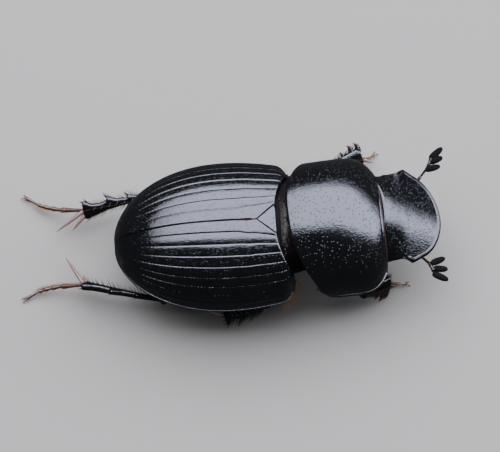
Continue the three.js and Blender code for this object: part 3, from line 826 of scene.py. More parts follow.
# The lowest line of the belly, its width as a share of the wing cases', and how far up it starts.
BELLY_LEVEL, BELLY_SHARE, CASE_UNDER = 0.66, 0.9, 0.17
for name, node, ends, steps in (("abdomen_rings", "abdomen", (0.35, 3.1), 6),
                                ("breastplate", "metathorax", (3.18, 6.3), 0)):
    u = np.linspace(*ends, 140)
    under_case = case_rim(u) - CASE_UNDER
    ahead = breast_front(u)
    belly = hanging_plate(name, u, BELLY_SHARE * case_half_width(u) * ahead, under_case,
                          (under_case - BELLY_LEVEL) * full_belly(u) * ahead, HIND, steps)
    hand_in(belly, "black_underside", node)

p = np.linspace(0.8, 3.15, 60)
fuller = np.sqrt(1 - 0.35 * np.abs(np.linspace(-1, 1, 60)) ** 2.5)
THROAT_TOP, THROAT_LEVEL = SHIELD_RIM - 0.15, 0.8
throat = hanging_plate("fore_breastplate", p, 0.84 * shield_half_width(p), THROAT_TOP,
                       (THROAT_TOP - THROAT_LEVEL) * fuller, FORE)
hand_in(throat, "black_underside", "prothorax")

u = 0.1 + 0.2 * np.linspace(0.1, 1, 30)
tail = hanging_plate("tail_plate", u, 0.8 * case_half_width(u + 0.05), CASE_RIM_TIP - 0.22,
                     0.2 + 0.55 * np.sqrt((u - 0.1) / 0.2), HIND)
hand_in(tail, "black_underside", "pygidium")

# %% [markdown]
# ## The waist
#
# Between shield and wing cases the beetle bends. What shows there is a dark collar of leathery
# skin, folded crosswise, that passes forward under the shield.

# %% The waist
# The waist is pushed a little to the left, as the fore body is turned that way.
WAIST_HALF, WAIST_SHIFT = 1.9, 0.2
WAIST_LEVEL, WAIST_TOP, WAIST_DEPTH = 2.45, 3.98, 1.15
WAIST_SKIN = dull_chitin("leathery dark skin of the waist", "#110b09", 0.09, 0.012, 0.8, 0.1)


def waist():
    u = np.linspace(5.35, 7.0, 70)[:, None]
    angles = np.radians(np.linspace(-180, 180, 180, endpoint=False))[None, :]
    across, up = np.sin(angles), np.cos(angles)
    folds = 0.008 * np.sin(u * 2 * np.pi / 0.14) * share(up)
    taper = 0.35 * share((u - 5.9) / 1.1) * (angles < 0)
    rise = np.where(up > 0, WAIST_TOP - WAIST_LEVEL - 0.16 * share((u - 5.6) / 0.5), WAIST_DEPTH)
    rings = grid(u - 0.6 * across**2 * (7.2 - u) / 1.9, WAIST_SHIFT + (WAIST_HALF + folds - taper) * across,
                 WAIST_LEVEL + (rise + folds) * up)
    return new_piece("waist_skin", [closed_skin(rings)], WAIST_SKIN, HIND)


hand_in(waist(), "waist_membrane", "mesothorax")


def neck():
    """The same dark skin fills the fore body's front opening and holds the head."""
    p = np.linspace(2.9, 3.75, 30)[:, None]
    turn = circle(72)[None, :]
    size = np.sqrt(1 - share((p - 3.2) / 0.75) ** 2)
    height = 2.75 - 0.18 * (p - 2.9) + 0.68 * size * np.cos(turn)
    rings = grid(p, 1.28 * size * np.sin(turn), height)
    return new_piece("neck_skin", [closed_skin(rings)], WAIST_SKIN, FORE)


hand_in(neck(), "waist_membrane")

# %% [markdown]
# ## Legs
#
# A beetle's leg is a hip, a thigh, a shin and a foot of five joints with two claws. The shins are
# flat blades that widen to the foot: the fore shins are rakes with three big teeth, and the middle
# and hind ones carry two slanting combs of bristles, which show as steps along the outer edge.
# Each limb is made of flat rings along a line, with its own width to the outer and inner side.

# %% Places of the legs
# Joints in mm. The flat of a shin faces the way "faces". A spur is turned by "spur" degrees from the
# shin, and "long" holds the shares by which its spurs are longer or shorter than usual.
LEGS = {
    "fore_left": dict(kind="fore", side=1, root=(3.3, -0.1, 0.75), hip=(3.3, 0.45, 0.8),
                      knee=(3.15, 2.15, 1.3), ankle=(4.6, 2.93, 0.85), bend=(4.82, 3.07),
                      toe=(5.08, 3.36), faces=(-0.1, -0.8, 1), spur=35, long=(1,)),
    "fore_right": dict(kind="fore", side=-1, root=(3.5, -0.55, 0.75), hip=(3.55, -1.1, 0.8),
                       knee=(4.62, -2.42, 1.4), ankle=(5.55, -1.86, 0.85), bend=(5.85, -1.65),
                       toe=(6.2, -1.62), faces=(-0.15, -1.1, 0.85), spur=35, long=(1,)),
    "mid_left": dict(kind="mid", side=1, root=(0.85, -0.1, 0.72), hip=(0.85, 0.35, 0.75),
                     knee=(1.15, 1.68, 1.05), ankle=(-0.35, 1.86, 0.65), bend=(-0.9, 1.5),
                     toe=(-1.35, 0.95), faces=(0, 0.3, 1), spur=35, long=(1, 1)),
    "mid_right": dict(kind="mid", side=-1, root=(0.85, -1.0, 0.72), hip=(0.85, -1.45, 0.75),
                      knee=(1.15, -2.75, 1.05), ankle=(-0.35, -3.05, 0.65), bend=(-0.9, -2.65),
                      toe=(-1.35, -2.05), faces=(0, -0.3, 1), spur=35, long=(1, 1)),
    "hind_left": dict(kind="hind", side=1, root=(-0.6, -0.4, 0.72), hip=(-0.9, 0.15, 0.75),
                      knee=(-2.95, 1.33, 1.15), ankle=(-5.45, 0.92, 0.85), bend=(-6.95, 1.12),
                      toe=(-7.6, 1.74), faces=(0, -0.6, 1), spur=25, long=(1.0, 0.85)),
    "hind_right": dict(kind="hind", side=-1, root=(-0.6, -1.05, 0.72), hip=(-0.9, -1.6, 0.75),
                       knee=(-2.5, -2.6, 1.15), ankle=(-5.45, -1.93, 0.85), bend=(-6.95, -1.7),
                       toe=(-7.55, -2.25), faces=(0, 1, 0.6), spur=47, long=(1.12, 0.5)),
}
# Half widths of a shin, as (place along it, outer side, inner side). A jump is a comb's step.
SHIN_OUTLINES = {
    "hind": [(0, 0.1, 0.08), (0.12, 0.12, 0.07), (0.33, 0.25, 0.07), (0.35, 0.16, 0.075), (0.5, 0.19, 0.1),
             (0.63, 0.34, 0.14), (0.65, 0.2, 0.15), (0.75, 0.14, 0.21), (0.86, 0.17, 0.28),
             (0.96, 0.33, 0.34), (1.0, 0.3, 0.3)],
    "mid": [(0, 0.11, 0.09), (0.15, 0.14, 0.09), (0.38, 0.26, 0.1), (0.4, 0.17, 0.1), (0.66, 0.32, 0.16),
            (0.69, 0.2, 0.17), (0.84, 0.18, 0.26), (0.96, 0.33, 0.32), (1.0, 0.3, 0.3)],
    "fore": [(0, 0.14, 0.14), (0.2, 0.2, 0.16), (0.45, 0.29, 0.22), (0.7, 0.36, 0.26), (0.9, 0.4, 0.31),
             (1.0, 0.3, 0.3)],
}
SHIN_THICK = 0.12  # half the thickness of the blade


def vec(numbers):
    return np.array(numbers, float)


def unit(vector):
    return vec(vector) / np.linalg.norm(vector)


def shin_axes(leg):
    """Both ends of a shin, the way along it, the way to its outer edge and out of its flat face."""
    knee, ankle = vec(leg["knee"]), vec(leg["ankle"])
    along = unit(ankle - knee)
    outward = unit(np.cross(along, leg["faces"]))
    flat = np.cross(along, outward)
    inward = unit((along[1], -along[0], 0.0))
    if inward[1] * leg["side"] > 0:
        inward = -inward
    if outward @ inward > 0:
        outward, flat = -outward, -flat
    return knee, ankle, along, outward, flat


LIMB_SIDES = 24


def flat_limb(start, end, outward, outer, inner, thick, squareness=0.8):
    """Rings along a straight limb. outer, inner and thick are its half sizes, as arrays along it."""
    t = np.linspace(0, 1, len(outer))[:, None, None]
    along = unit(end - start)
    outward = unit(outward - along * (outward @ along))
    flat = np.cross(along, outward)
    turn = circle(LIMB_SIDES)[None, :]
    c, s = np.cos(turn), np.sin(turn)
    reach = np.sign(c) * np.abs(c) ** squareness * np.where(c > 0, outer[:, None], inner[:, None])
    lift = np.sign(s) * np.abs(s) ** squareness * thick[:, None]
    middle = start + (end - start) * t
    return middle + reach[..., None] * outward + lift[..., None] * flat


def rounded(values, t, from_end):
    """Closes a limb's ends in a round cap instead of a cut."""
    caps = np.sqrt(1 - (1 - share(t / from_end)) ** 2) * np.sqrt(1 - (1 - share((1 - t) / from_end)) ** 2)
    return values * np.maximum(caps, 0.05)


# %% Chitin of the legs
def thin_chitin(name, dark, light, roughness, glow):
    """Leg chitin is black where it is thick and chestnut along its thin edges."""
    material, tree, shader = new_material(name)
    place = millimetres(tree)
    spread = calc(tree, "MULTIPLY_ADD", noise(tree, place, 6.0, 3.0), 0.5, thinness(tree))
    tint = mix(tree, soft_step(tree, spread, 0.45, 1.25), linear(dark), linear(light))
    fill(tree, shader, {"Base Color": tint, "Normal": bump(tree, noise(tree, place, 18.0, 3.0), 0.012),
                        "Roughness": roughness, "IOR": CHITIN_IOR, "Subsurface Weight": glow,
                        "Subsurface Radius": (1.0, 0.35, 0.12), "Subsurface Scale": 0.08 * MM})
    return material


LEG_CHITIN = thin_chitin("glossy black-brown chitin of the legs", "#0a0808", "#4a2416", 0.15, 0.0)
FOOT_CHITIN = thin_chitin("clear chestnut chitin of the feet", "#30180f", "#7c4a34", 0.25, 0.2)
SPUR_HORN = thin_chitin("pale horn of the spurs", "#a0827c", "#dccac6", 0.2, 0.3)


# %% Hips, thighs and shins
def hip_piece(name, leg):
    t = np.linspace(0, 1, 24)
    half = rounded(0.3 - 0.05 * t, t, 0.35)
    rings = flat_limb(vec(leg["root"]), vec(leg["hip"]), vec((1, 0, 0)), half * 1.15, half, half)
    return new_piece(f"{name}_hip", [closed_skin(rings)], LEG_CHITIN, thin=np.zeros(1))


def thigh_piece(name, leg):
    """The thigh, with the small ring joint that ties it to the hip."""
    hip, knee = vec(leg["hip"]), vec(leg["knee"])
    broad = np.cross(leg["faces"], knee - hip)
    t = np.linspace(0, 1, 48)
    swell = 0.24 + 0.19 * np.sin(np.pi * np.clip(t * 1.05, 0, 1)) ** 0.8
    thigh = flat_limb(hip, knee, broad, rounded(swell, t, 0.1), rounded(swell * 0.9, t, 0.1),
                      rounded(0.13 + 0.07 * np.sin(np.pi * t), t, 0.1))
    cap = rounded(np.ones(12), np.linspace(0, 1, 12), 0.5)
    ring = flat_limb(hip, hip + 0.12 * (knee - hip), broad, 0.26 * cap, 0.22 * cap, np.full(12, 0.15))
    return new_piece(f"{name}_thigh", [closed_skin(thigh), closed_skin(ring)], LEG_CHITIN, thin=np.zeros(1))


# The rake of a fore shin: place along it and how far each tooth stands out.
RAKE = [(0.1 + 0.08 * k, 0.13 + 0.01 * k) for k in range(5)] + [(0.56, 0.3), (0.77, 0.4), (0.94, 0.4)]


def tooth(root, outward, along, reach):
    """A flat tooth that hooks back towards the knee at its tip."""
    t = np.linspace(0, 1, 16)[:, None, None]
    turn = circle(14)[None, :, None]
    size = 0.35 * reach * (0.06 + 0.94 * (1 - t) ** 0.75)
    middle = root + outward * reach * np.sin(t * 1.25) + along * reach * (0.45 * t - 0.75 * t**2.2)
    flat = np.cross(along, outward)
    return closed_skin(middle + along * size * np.cos(turn) + flat * 0.6 * size * np.sin(turn))


def shin_piece(name, leg):
    """The blade of the shin, with the knob of the knee and, on a fore leg, the teeth."""
    knee, ankle, along, outward, _ = shin_axes(leg)
    is_fore = leg["kind"] == "fore"
    outline = np.array(SHIN_OUTLINES[leg["kind"]])
    t = np.linspace(0, 1, 130)
    outer, inner = (np.interp(t, outline[:, 0], outline[:, column]) for column in (1, 2))
    thick = SHIN_THICK * (0.75 + 0.35 * t)
    rings = flat_limb(knee, ankle, outward, rounded(outer, t, 0.03), rounded(inner, t, 0.03),
                      rounded(thick, t, 0.03), squareness=0.55)
    thin = np.abs(np.cos(circle(LIMB_SIDES))) ** 6 * 0.45 * t[:, None] ** 2
    size = rounded(np.full(20, 0.21 if is_fore else 0.17), np.linspace(0, 1, 20), 0.5)
    knob = flat_limb(knee - along * 0.16, knee + along * 0.16, outward, size, size, size)
    skins, thinness = [closed_skin(rings)], [thin.ravel(), [0, 0]]
    for place, reach in (RAKE if is_fore else ()):
        edge = np.interp(place, outline[:, 0], outline[:, 1])
        root = knee + (ankle - knee) * place + outward * (edge - 0.09)
        skins.append(tooth(root, outward, along, reach))
        thinness.append(np.linspace(0, 1.2, len(skins[-1][0])))
    return new_piece(f"{name}_shin", skins + [closed_skin(knob)], LEG_CHITIN, sharp_over=35.0,
                     thin=np.concatenate(thinness))


def spike(root, way, length, half, droop, tip):
    """A pointed cone that bends down by droop, in rings. Its point is tip times as thick as its root."""
    t = np.linspace(0, 1, 16)[:, None, None]
    way = unit(way)
    across = unit(np.cross(way, (0.0, 0.0, 1.0)))
    upward = np.cross(across, way)
    turn = circle(12)[None, :, None]
    size = half * (tip + (1 - tip) * (1 - t**2.2)) * (0.6 + 0.4 * share(t / 0.1))
    middle = root + way * length * t - vec((0, 0, droop)) * t**2
    return closed_skin(middle + across * size * np.cos(turn) + upward * size * np.sin(turn))


# The spurs at the end of a shin: turn in degrees, length, and how far back they stand.
SPURS = {
    "hind": ((0, 1.3, 0.1), (15, 0.95, 0.14)),
    "mid": ((0, 0.85, 0.1), (16, 0.6, 0.14)),
    "fore": ((0, 0.5, 0.1),),
}


def spurs_piece(name, leg):
    _, ankle, along, outward, _ = shin_axes(leg)
    level = unit(along * (1, 1, 0))
    skins = []
    for (fan, length, back), longer in zip(SPURS[leg["kind"]], leg["long"]):
        angle = math.radians(leg["spur"] + fan) * leg["side"] * -np.sign(level[0])
        turned = vec((level[0] * math.cos(angle) - level[1] * math.sin(angle),
                      level[0] * math.sin(angle) + level[1] * math.cos(angle), -0.22))
        root = ankle - along * back - outward * 2.5 * (back - 0.1)
        skins.append(spike(root, turned, length * longer, 0.078, droop=0.1, tip=0.16))
    return new_piece(f"{name}_spurs", skins, SPUR_HORN)


for name, leg in LEGS.items():
    hand_in(spurs_piece(name, leg), "chestnut_foot")
    hand_in(hip_piece(name, leg), "black_leg", f"{name}_coxa")
    hand_in(thigh_piece(name, leg), "black_leg", f"{name}_femur")
    hand_in(shin_piece(name, leg), "black_leg", f"{name}_tibia")

# %% [markdown]
# ### Feet: links on a path
#
# A foot is five links, each thin where it starts and flared where the next one sits, and the last
# carries the claws. This is what Geometry Nodes do well: the path holds the joints as points, and
# on each point stands one link, turned to the next point and as long as the way there. The same
# tree makes the jointed stalks of the feelers and the mouth feelers.

# %% Geometry Nodes: links on a path
LINK_SIDES = 14


def link_shape(name, profile):
    """A turned shape one unit long along X, from (place, half width) pairs."""
    at, half = np.array(profile).T[..., None]
    turn = circle(LINK_SIDES)[None, :]
    rings = grid(at, half * np.cos(turn), half * np.sin(turn)) / MM
    shape = new_piece(name, [closed_skin(rings)], FOOT_CHITIN)
    keep_at_points(shape.data, "thin", [0.35 + 0.3 * point.co.x for point in shape.data.vertices])
    bpy.context.scene.collection.objects.unlink(shape)
    return shape


LINK_PROFILE = [(0, 0.45), (0.04, 0.6), (0.5, 0.7), (0.85, 0.96), (0.95, 1.0), (1.0, 0.8), (1.03, 0.3)]
FOOT_LINK = link_shape("foot link", LINK_PROFILE)


def link_tree():
    tree, size = new_tree("Links on a path", material=FOOT_CHITIN)
    tree.interface.new_socket("shape", in_out="INPUT", socket_type="NodeSocketObject")
    shape = tree.nodes["Group Input"].outputs["shape"]
    position = add(tree, "GeometryNodeInputPosition")
    following = calc(tree, "ADD", add(tree, "GeometryNodeInputIndex"), 1.0)
    next_place = add(tree, "GeometryNodeFieldAtIndex", {"Index": following, "Value": position},
                     data_type="FLOAT_VECTOR")
    way = arrow_calc(tree, "SUBTRACT", next_place, position)
    length = arrow_calc(tree, "LENGTH", way)
    turned = add(tree, "FunctionNodeAlignRotationToVector", {"Vector": way}, axis="X")
    girth = at_point(tree, "girth")
    scale = add(tree, "ShaderNodeCombineXYZ", {"X": length.outputs["Value"], "Y": girth, "Z": girth})
    has_next = calc(tree, "GREATER_THAN", girth, 0.0)  # the last joint of a path carries no link
    info = add(tree, "GeometryNodeObjectInfo", {"Object": shape})
    stood = add(tree, "GeometryNodeInstanceOnPoints",
                {"Points": size["Geometry"], "Selection": has_next, "Instance": info.outputs["Geometry"],
                 "Rotation": turned, "Scale": scale})
    end_tree(tree, stood, size["material"])
    return tree


LINKS = link_tree()


def linked(name, paths, material):
    """A chain of links through each path of (points in mm, half widths in mm)."""
    points = np.concatenate([np.array(path) for path, _ in paths]) * MM
    girth = np.concatenate([list(halves) + [0.0] for _, halves in paths]) * MM
    mesh = bpy.data.meshes.new(name)
    mesh.from_pydata(points.tolist(), [], [])
    keep_at_points(mesh, "girth", girth)
    return apply_tree(in_scene(name, mesh), LINKS, material=material, shape=FOOT_LINK)


def bent_path(start, bend, end, shares):
    """Points on a curve from start to end, drawn towards bend, at shares of its way."""
    start, bend, end = vec(start), vec(bend), vec(end)
    t = np.linspace(0, 1, 200)[:, None]
    curve = (1 - t) ** 2 * start + 2 * t * (1 - t) * bend + t**2 * end
    run = np.concatenate([[0], np.cumsum(np.linalg.norm(np.diff(curve, axis=0), axis=1))])
    return np.stack([np.interp(vec(shares) * run[-1], run, curve[:, k]) for k in range(3)], -1)


# The joints of a foot, as shares of its way, and the half width of each link.
FOOT_SHARES = {"hind": (0, 0.34, 0.5, 0.62, 0.72, 0.95), "mid": (0, 0.32, 0.48, 0.61, 0.72, 0.95),
               "fore": (0, 0.22, 0.4, 0.55, 0.68, 0.95)}
FOOT_HALF = {"hind": (0.1, 0.092, 0.086, 0.08, 0.064), "mid": (0.085, 0.08, 0.075, 0.07, 0.06),
             "fore": (0.06, 0.055, 0.052, 0.05, 0.045)}
FOOT_LEVEL = {"bend": 0.12, "toe": 0.1}
# The bend and the tip of a claw: how far ahead of the last joint, and how far aside.
CLAW_BEND, CLAW_TIP, CLAW_HALF = (0.09, 0.05), (0.16, 0.085), (0.022, 0.016)
foot_paths = {}
for name, leg in LEGS.items():
    bend, toe = (*leg["bend"], FOOT_LEVEL["bend"]), (*leg["toe"], FOOT_LEVEL["toe"])
    foot_paths[name] = bent_path(leg["ankle"], bend, toe, FOOT_SHARES[leg["kind"]])
    claws = []
    last, before = foot_paths[name][-1], foot_paths[name][-2]
    ahead = unit((last - before) * (1, 1, 0))
    aside = vec((-ahead[1], ahead[0], 0))
    for spread_way in (1, -1):
        middle, tip = (last + ahead * far + aside * out * spread_way for far, out in (CLAW_BEND, CLAW_TIP))
        claws.append(([last, middle + (0, 0, 0.01), tip - (0, 0, last[2] - 0.012)], CLAW_HALF))
    foot = linked(f"{name}_foot", [(foot_paths[name], FOOT_HALF[leg["kind"]])] + claws, FOOT_CHITIN)
    hand_in(foot, "chestnut_foot", f"{name}_tarsus")

# %% [markdown]
# ## Feelers
#
# A beetle of this family has a short jointed feeler that ends in a club of three leaves, which open
# like a hand and are velvety with fine hairs. A long first joint and five beads carry the club.

# %% The feelers
def velvet(name, dark, light):
    """Fine standing hairs scatter light at the rim of each leaf, which sheen stands for."""
    material, tree, shader = new_material(name)
    nap = noise(tree, millimetres(tree), 40.0, 3.0)
    tint = mix(tree, nap, linear(dark), linear(light))
    fill(tree, shader, {"Base Color": tint, "Normal": bump(tree, nap, 0.02), "Roughness": 0.7,
                        "Sheen Weight": 0.015, "Sheen Tint": linear("#b0a090"), "Specular IOR Level": 0.06})
    return material


CLUB_VELVET = velvet("black-brown velvet of the club", "#070504", "#120c0a")
FEELER_CHITIN = thin_chitin("dark chestnut chitin of the feelers", "#1c0e09", "#4c2a1c", 0.25, 0.1)
# Each leaf of a club: root from the elbow in X and Y, the way it points in degrees, and its length.
FEELERS = {
    "left": dict(base=(6.45, 1.55, 1.75), elbow=(6.93, 2.12, 2.0), end=(7.1, 2.5, 2.05),
                 leaves=((-0.08, -0.08, 12, 0.56), (0.07, 0.2, 20, 0.52), (0.09, 0.33, 42, 0.62))),
    "right": dict(base=(6.5, -1.0, 1.75), elbow=(6.98, -1.52, 2.0), end=(7.16, -1.85, 2.05),
                  leaves=((0.04, -0.02, 21, 0.56), (0.14, -0.2, -5, 0.52), (0.1, -0.38, -27, 0.64))),
}
LEAF_HALF, LEAF_THICK = 0.13, 0.08
STALK_HALF = (0.06, 0.055, 0.058, 0.06, 0.066, 0.08, 0.1)


def club(name, feeler):
    leaves = []
    for dx, dy, angle, length in feeler["leaves"]:
        root = vec(feeler["elbow"]) + (dx, dy, 0.03)
        way = vec((math.cos(math.radians(angle)), math.sin(math.radians(angle)), 0.12))
        across = unit(np.cross((0, 0, 1), way))
        upward = unit(np.cross(way, across))
        t = np.linspace(0, 1, 28)[:, None, None]
        turn = circle(28)[None, :, None]
        swell = (1 - np.abs(2 * t**0.85 - 1) ** 2.6) ** 0.5 * 0.92 + 0.08 * (1 - t)
        middle = root + way * length * t
        leaves.append(closed_skin(middle + across * LEAF_HALF * swell * np.cos(turn)
                                  + upward * LEAF_THICK * swell * np.sin(turn)))
    return new_piece(f"{name}_club", leaves, CLUB_VELVET)


for side, feeler in FEELERS.items():
    hand_in(club(f"feeler_{side}", feeler), "feeler_club", f"antenna_{side}_club")
    base, elbow, end = (vec(feeler[joint]) for joint in ("base", "elbow", "end"))
    beads = [base + (elbow - base) * t for t in (-0.3, 0.5, 0.62, 0.74, 0.86, 0.98)]
    beads += [elbow + (end - elbow) * t for t in (0.3, 0.9)]
    stalk = linked(f"feeler_{side}_stalk", [(beads, STALK_HALF)], FEELER_CHITIN)
    hand_in(stalk, "chestnut_foot", f"antenna_{side}_stalk")

# %% [markdown]
# ## Mouth
#
# The mouth hides under the shovel of the head: a rounded pad of soft mouthparts, with two pairs
# of short jointed palps that feel the food.

# %% The mouth and its palps
across = np.linspace(-0.98, 0.98, 50)
pad = hanging_plate("mouthparts", 0.02 + 0.75 * (across + 1), 1.16 * np.sqrt(1 - 0.5 * across**2), -0.12,
                    0.78 * np.sqrt(1 - 0.6 * across**2), HEAD)
hand_in(pad, "black_underside")
palps = []
for side in (1, -1):
    for spread_out, reach in ((0.3, 0.55), (0.62, 0.75)):
        joints = [(1.1, side * spread_out, -0.55), (1.3, side * (spread_out + 0.1), -0.72),
                  (1.45, side * (spread_out + 0.14), -0.66), (1.1 + reach, side * (spread_out + 0.1), -0.5)]
        palps.append((in_world(joints, HEAD), (0.05, 0.055, 0.06)))
hand_in(linked("palps", palps, FEELER_CHITIN), "chestnut_foot")

# %% [markdown]
# ## Bristles and hairs
#
# A beetle's hairs are hollow spines of the same chitin, so a thin one is amber and a stout one is
# brown. Each grows from a pore, leans the same way as its neighbours and bends a little. The
# points carry the way, the length and the girth of each hair. Geometry Nodes stand a cone on each,
# bend it by a shift that grows with the square of the height, and write the map that gives each
# hair its own small patch, at its root's place on the limb unrolled.

# %% Geometry Nodes: hairs on points
def hair_tree():
    tree, size = new_tree("Hairs", bend=0.25, sides=5, patch=0.003, material=FOOT_CHITIN)
    cone = add(tree, "GeometryNodeMeshCone", {"Vertices": size["sides"], "Side Segments": 4,
                                              "Radius Top": 0.08, "Radius Bottom": 1.0, "Depth": 1.0})
    length, girth = at_point(tree, "length"), at_point(tree, "girth")
    way, unrolled = at_point(tree, "way", "FLOAT_VECTOR"), at_point(tree, "unrolled", "FLOAT_VECTOR")
    # The place on the hair, halved: X across it, and Y up it from 0 to 0.5.
    on_cone = parts_of(tree, add(tree, "GeometryNodeInputPosition"))
    flat = add(tree, "ShaderNodeCombineXYZ", {"X": on_cone["X"], "Y": on_cone["Z"]})
    half_size = scaled(tree, flat, 0.5)
    marked = add(tree, "GeometryNodeStoreNamedAttribute",
                 {"Geometry": cone, "Name": "on_hair", "Value": half_size}, data_type="FLOAT_VECTOR")
    turned = add(tree, "FunctionNodeAlignRotationToVector", {"Vector": way}, axis="Z")
    scale = add(tree, "ShaderNodeCombineXYZ", {"X": girth, "Y": girth, "Z": length})
    stood = add(tree, "GeometryNodeInstanceOnPoints",
                {"Points": size["Geometry"], "Instance": marked, "Rotation": turned, "Scale": scale})
    real = add(tree, "GeometryNodeRealizeInstances", {"Geometry": stood})
    on_hair = at_point(tree, "on_hair", "FLOAT_VECTOR")
    across = arrow_calc(tree, "CROSS_PRODUCT", way, (0.0, 0.0, 1.0))
    side = arrow_calc(tree, "CROSS_PRODUCT", across, way)
    up_hair = parts_of(tree, on_hair)["Y"]
    squared = calc(tree, "POWER", calc(tree, "MULTIPLY", up_hair, 2.0), 2.0)
    amount = calc(tree, "MULTIPLY", calc(tree, "MULTIPLY", squared, length), size["bend"])
    bent = add(tree, "GeometryNodeSetPosition", {"Geometry": real, "Offset": scaled(tree, side, amount)})
    patch = scaled(tree, on_hair, size["patch"])
    place = arrow_calc(tree, "ADD", unrolled, patch)
    mapped = add(tree, "GeometryNodeStoreNamedAttribute",
                 {"Geometry": bent, "Name": "OFBake", "Value": place}, data_type="FLOAT2", domain="CORNER")
    smooth_hair = add(tree, "GeometryNodeSetShadeSmooth", {"Geometry": mapped})
    end_tree(tree, smooth_hair, size["material"])
    return tree


HAIRS = hair_tree()


def hairs(name, tuft, material, bend=0.25):
    """One mesh of hairs. A tuft lists root, way, length, half width and place unrolled (2) of each, in mm."""
    roots, ways, lengths, girths, unrolled = (np.array(column) for column in zip(*tuft))
    mesh = bpy.data.meshes.new(name)
    mesh.from_pydata((roots * MM).tolist(), [], [])
    keep_at_points(mesh, "way", ways / np.linalg.norm(ways, axis=1, keepdims=True))
    keep_at_points(mesh, "unrolled", np.concatenate([unrolled, np.zeros((len(tuft), 1))], 1))
    keep_at_points(mesh, "length", lengths * MM)
    keep_at_points(mesh, "girth", girths * MM)
    hand_in(apply_tree(in_scene(name, mesh), HAIRS, bend=bend, material=material), "chestnut_foot")


def hair_material(name, root_colour, tip_colour, gloss=0.5):
    """Amber horn: clear enough that a little light passes, and paler towards the thin end."""
    material, tree, shader = new_material(name)
    on_hair = add(tree, "ShaderNodeAttribute", attribute_name="on_hair")
    up_hair = parts_of(tree, on_hair.outputs["Vector"])["Y"]
    ramp = add(tree, "ShaderNodeMapRange", {"Value": up_hair, "From Max": 0.5})
    tint = mix(tree, ramp, linear(root_colour), linear(tip_colour))
    fill(tree, shader, {"Base Color": tint, "Roughness": 0.35, "IOR": 1.55, "Specular IOR Level": gloss,
                        "Transmission Weight": 0.15})
    return material


BROWN_HAIR = hair_material("brown bristles of the legs", "#140a06", "#4a2c1a", 0.15)
AMBER_HAIR = hair_material("amber hairs of the feet and flanks", "#8a5c32", "#dcb072")
BELLY_HAIR = hair_material("brown hairs of the belly", "#4a3628", "#8a6c50")
PALE_HAIR = hair_material("pale grey hairs of the waist", "#8e8a84", "#e2ded6")
random = np.random.default_rng(11)

# %% [markdown]
# ### Hairs of the legs
#
# The combs of a shin are rows of stout spines at each step of its outer edge, with a crown of them
# round the end. Finer hairs stand along both edges and along the middle of the flat, where the
# middle and hind shins also carry a few pale ones. On the foot each link ends in a small whorl, and
# a fringe of short amber hairs runs along its inner side.

# %% Hairs of the shins and feet
COMB_PLACES = {"hind": (0.33, 0.63), "mid": (0.38, 0.66), "fore": ()}
SHIN_ROWS = 26  # rows of finer hairs along a shin
WHORL = 7  # hairs round the end of a link


def shin_hairs(name, leg):
    knee, ankle, along, outward, flat = shin_axes(leg)
    outline = np.array(SHIN_OUTLINES[leg["kind"]])
    upper = flat if flat[2] > 0 else -flat

    def hair(t, side_share, lift_share, way, length, girth):
        """A hair at t along the shin, between its inner (-1) and outer (1) edge and its faces."""
        reach = np.interp(t, outline[:, 0], outline[:, 1 if side_share > 0 else 2])
        root = knee + (ankle - knee) * t + outward * reach * side_share * 0.97
        root = root + upper * SHIN_THICK * lift_share
        unrolled = (t, 0.5 + 0.2 * side_share + 0.25 * lift_share)
        return root, way, length * random.uniform(0.8, 1.2), girth, unrolled

    tuft = []
    for place in COMB_PLACES[leg["kind"]]:
        for lift in np.linspace(-0.8, 0.8, 6):
            way = outward + 0.9 * along + upper * 0.3 * lift
            tuft.append(hair(place, 0.95 - 0.1 * abs(lift), lift, way, 0.2, 0.014))
    for turn in circle(12):
        way = along + 0.5 * outward * np.cos(turn) + 0.4 * upper * np.sin(turn)
        tuft.append(hair(0.97, 0.9 * np.cos(turn), 0.8 * np.sin(turn), way, 0.17, 0.016))
    for k in range(SHIN_ROWS):
        t = 0.08 + 0.88 * k / SHIN_ROWS + random.uniform(-0.01, 0.01)
        for side_share, way, short, long in ((1.0, outward + 0.8 * along, 0.18, 0.34),
                                             (-1.0, -outward + 0.9 * along, 0.14, 0.28),
                                             (0.0, upper + 0.8 * along, 0.16, 0.34)):
            lift = random.uniform(-0.3, 0.3) if side_share else 1.0
            tuft.append(hair(t, side_share, lift, way, random.uniform(short, long), 0.019))
    hairs(f"{name}_shin_bristles", tuft, BROWN_HAIR)

    lying = 0.9 * outward - 0.7 * along + 0.5 * upper
    tuft = [hair(0.3 + 0.11 * k, -0.25, 1.0, lying, 0.24, 0.011) for k in range(6)]
    if leg["kind"] != "fore":
        hairs(f"{name}_pale_bristles", tuft, PALE_HAIR)


def foot_hairs(name, leg):
    is_fore = leg["kind"] == "fore"
    path = foot_paths[name]
    tuft = []
    for link, (start, end) in enumerate(zip(path[:-1], path[1:])):
        half = FOOT_HALF[leg["kind"]][link]
        ahead = unit(end - start)
        aside = unit(np.cross(ahead, (0, 0, 1)))
        over = np.cross(aside, ahead)
        for k, turn in enumerate(circle(WHORL)):
            ring = aside * np.cos(turn) + over * np.sin(turn)
            root = end - ahead * 0.02 + ring * half * 0.85
            tuft.append((root, ahead + 0.6 * ring, 0.13, 0.012, (0.1 + 0.18 * link, 0.1 + 0.1 * k)))
        inward = aside if aside[1] * leg["side"] < 0 else -aside
        count = 5 if link == 4 or is_fore else 14
        for k in range(count):
            t = (k + 0.5) / (14 if link == 4 else count)
            root = start + (end - start) * t + inward * half * 0.7
            way = inward + 0.6 * ahead + over * random.uniform(0.0, 0.6)
            length = random.uniform(0.11, 0.19) * (0.6 if is_fore else 1)
            tuft.append((root, way, length, 0.009, (0.1 + 0.18 * link + 0.15 * t, 0.95)))
    hairs(f"{name}_foot_hairs", tuft, AMBER_HAIR)


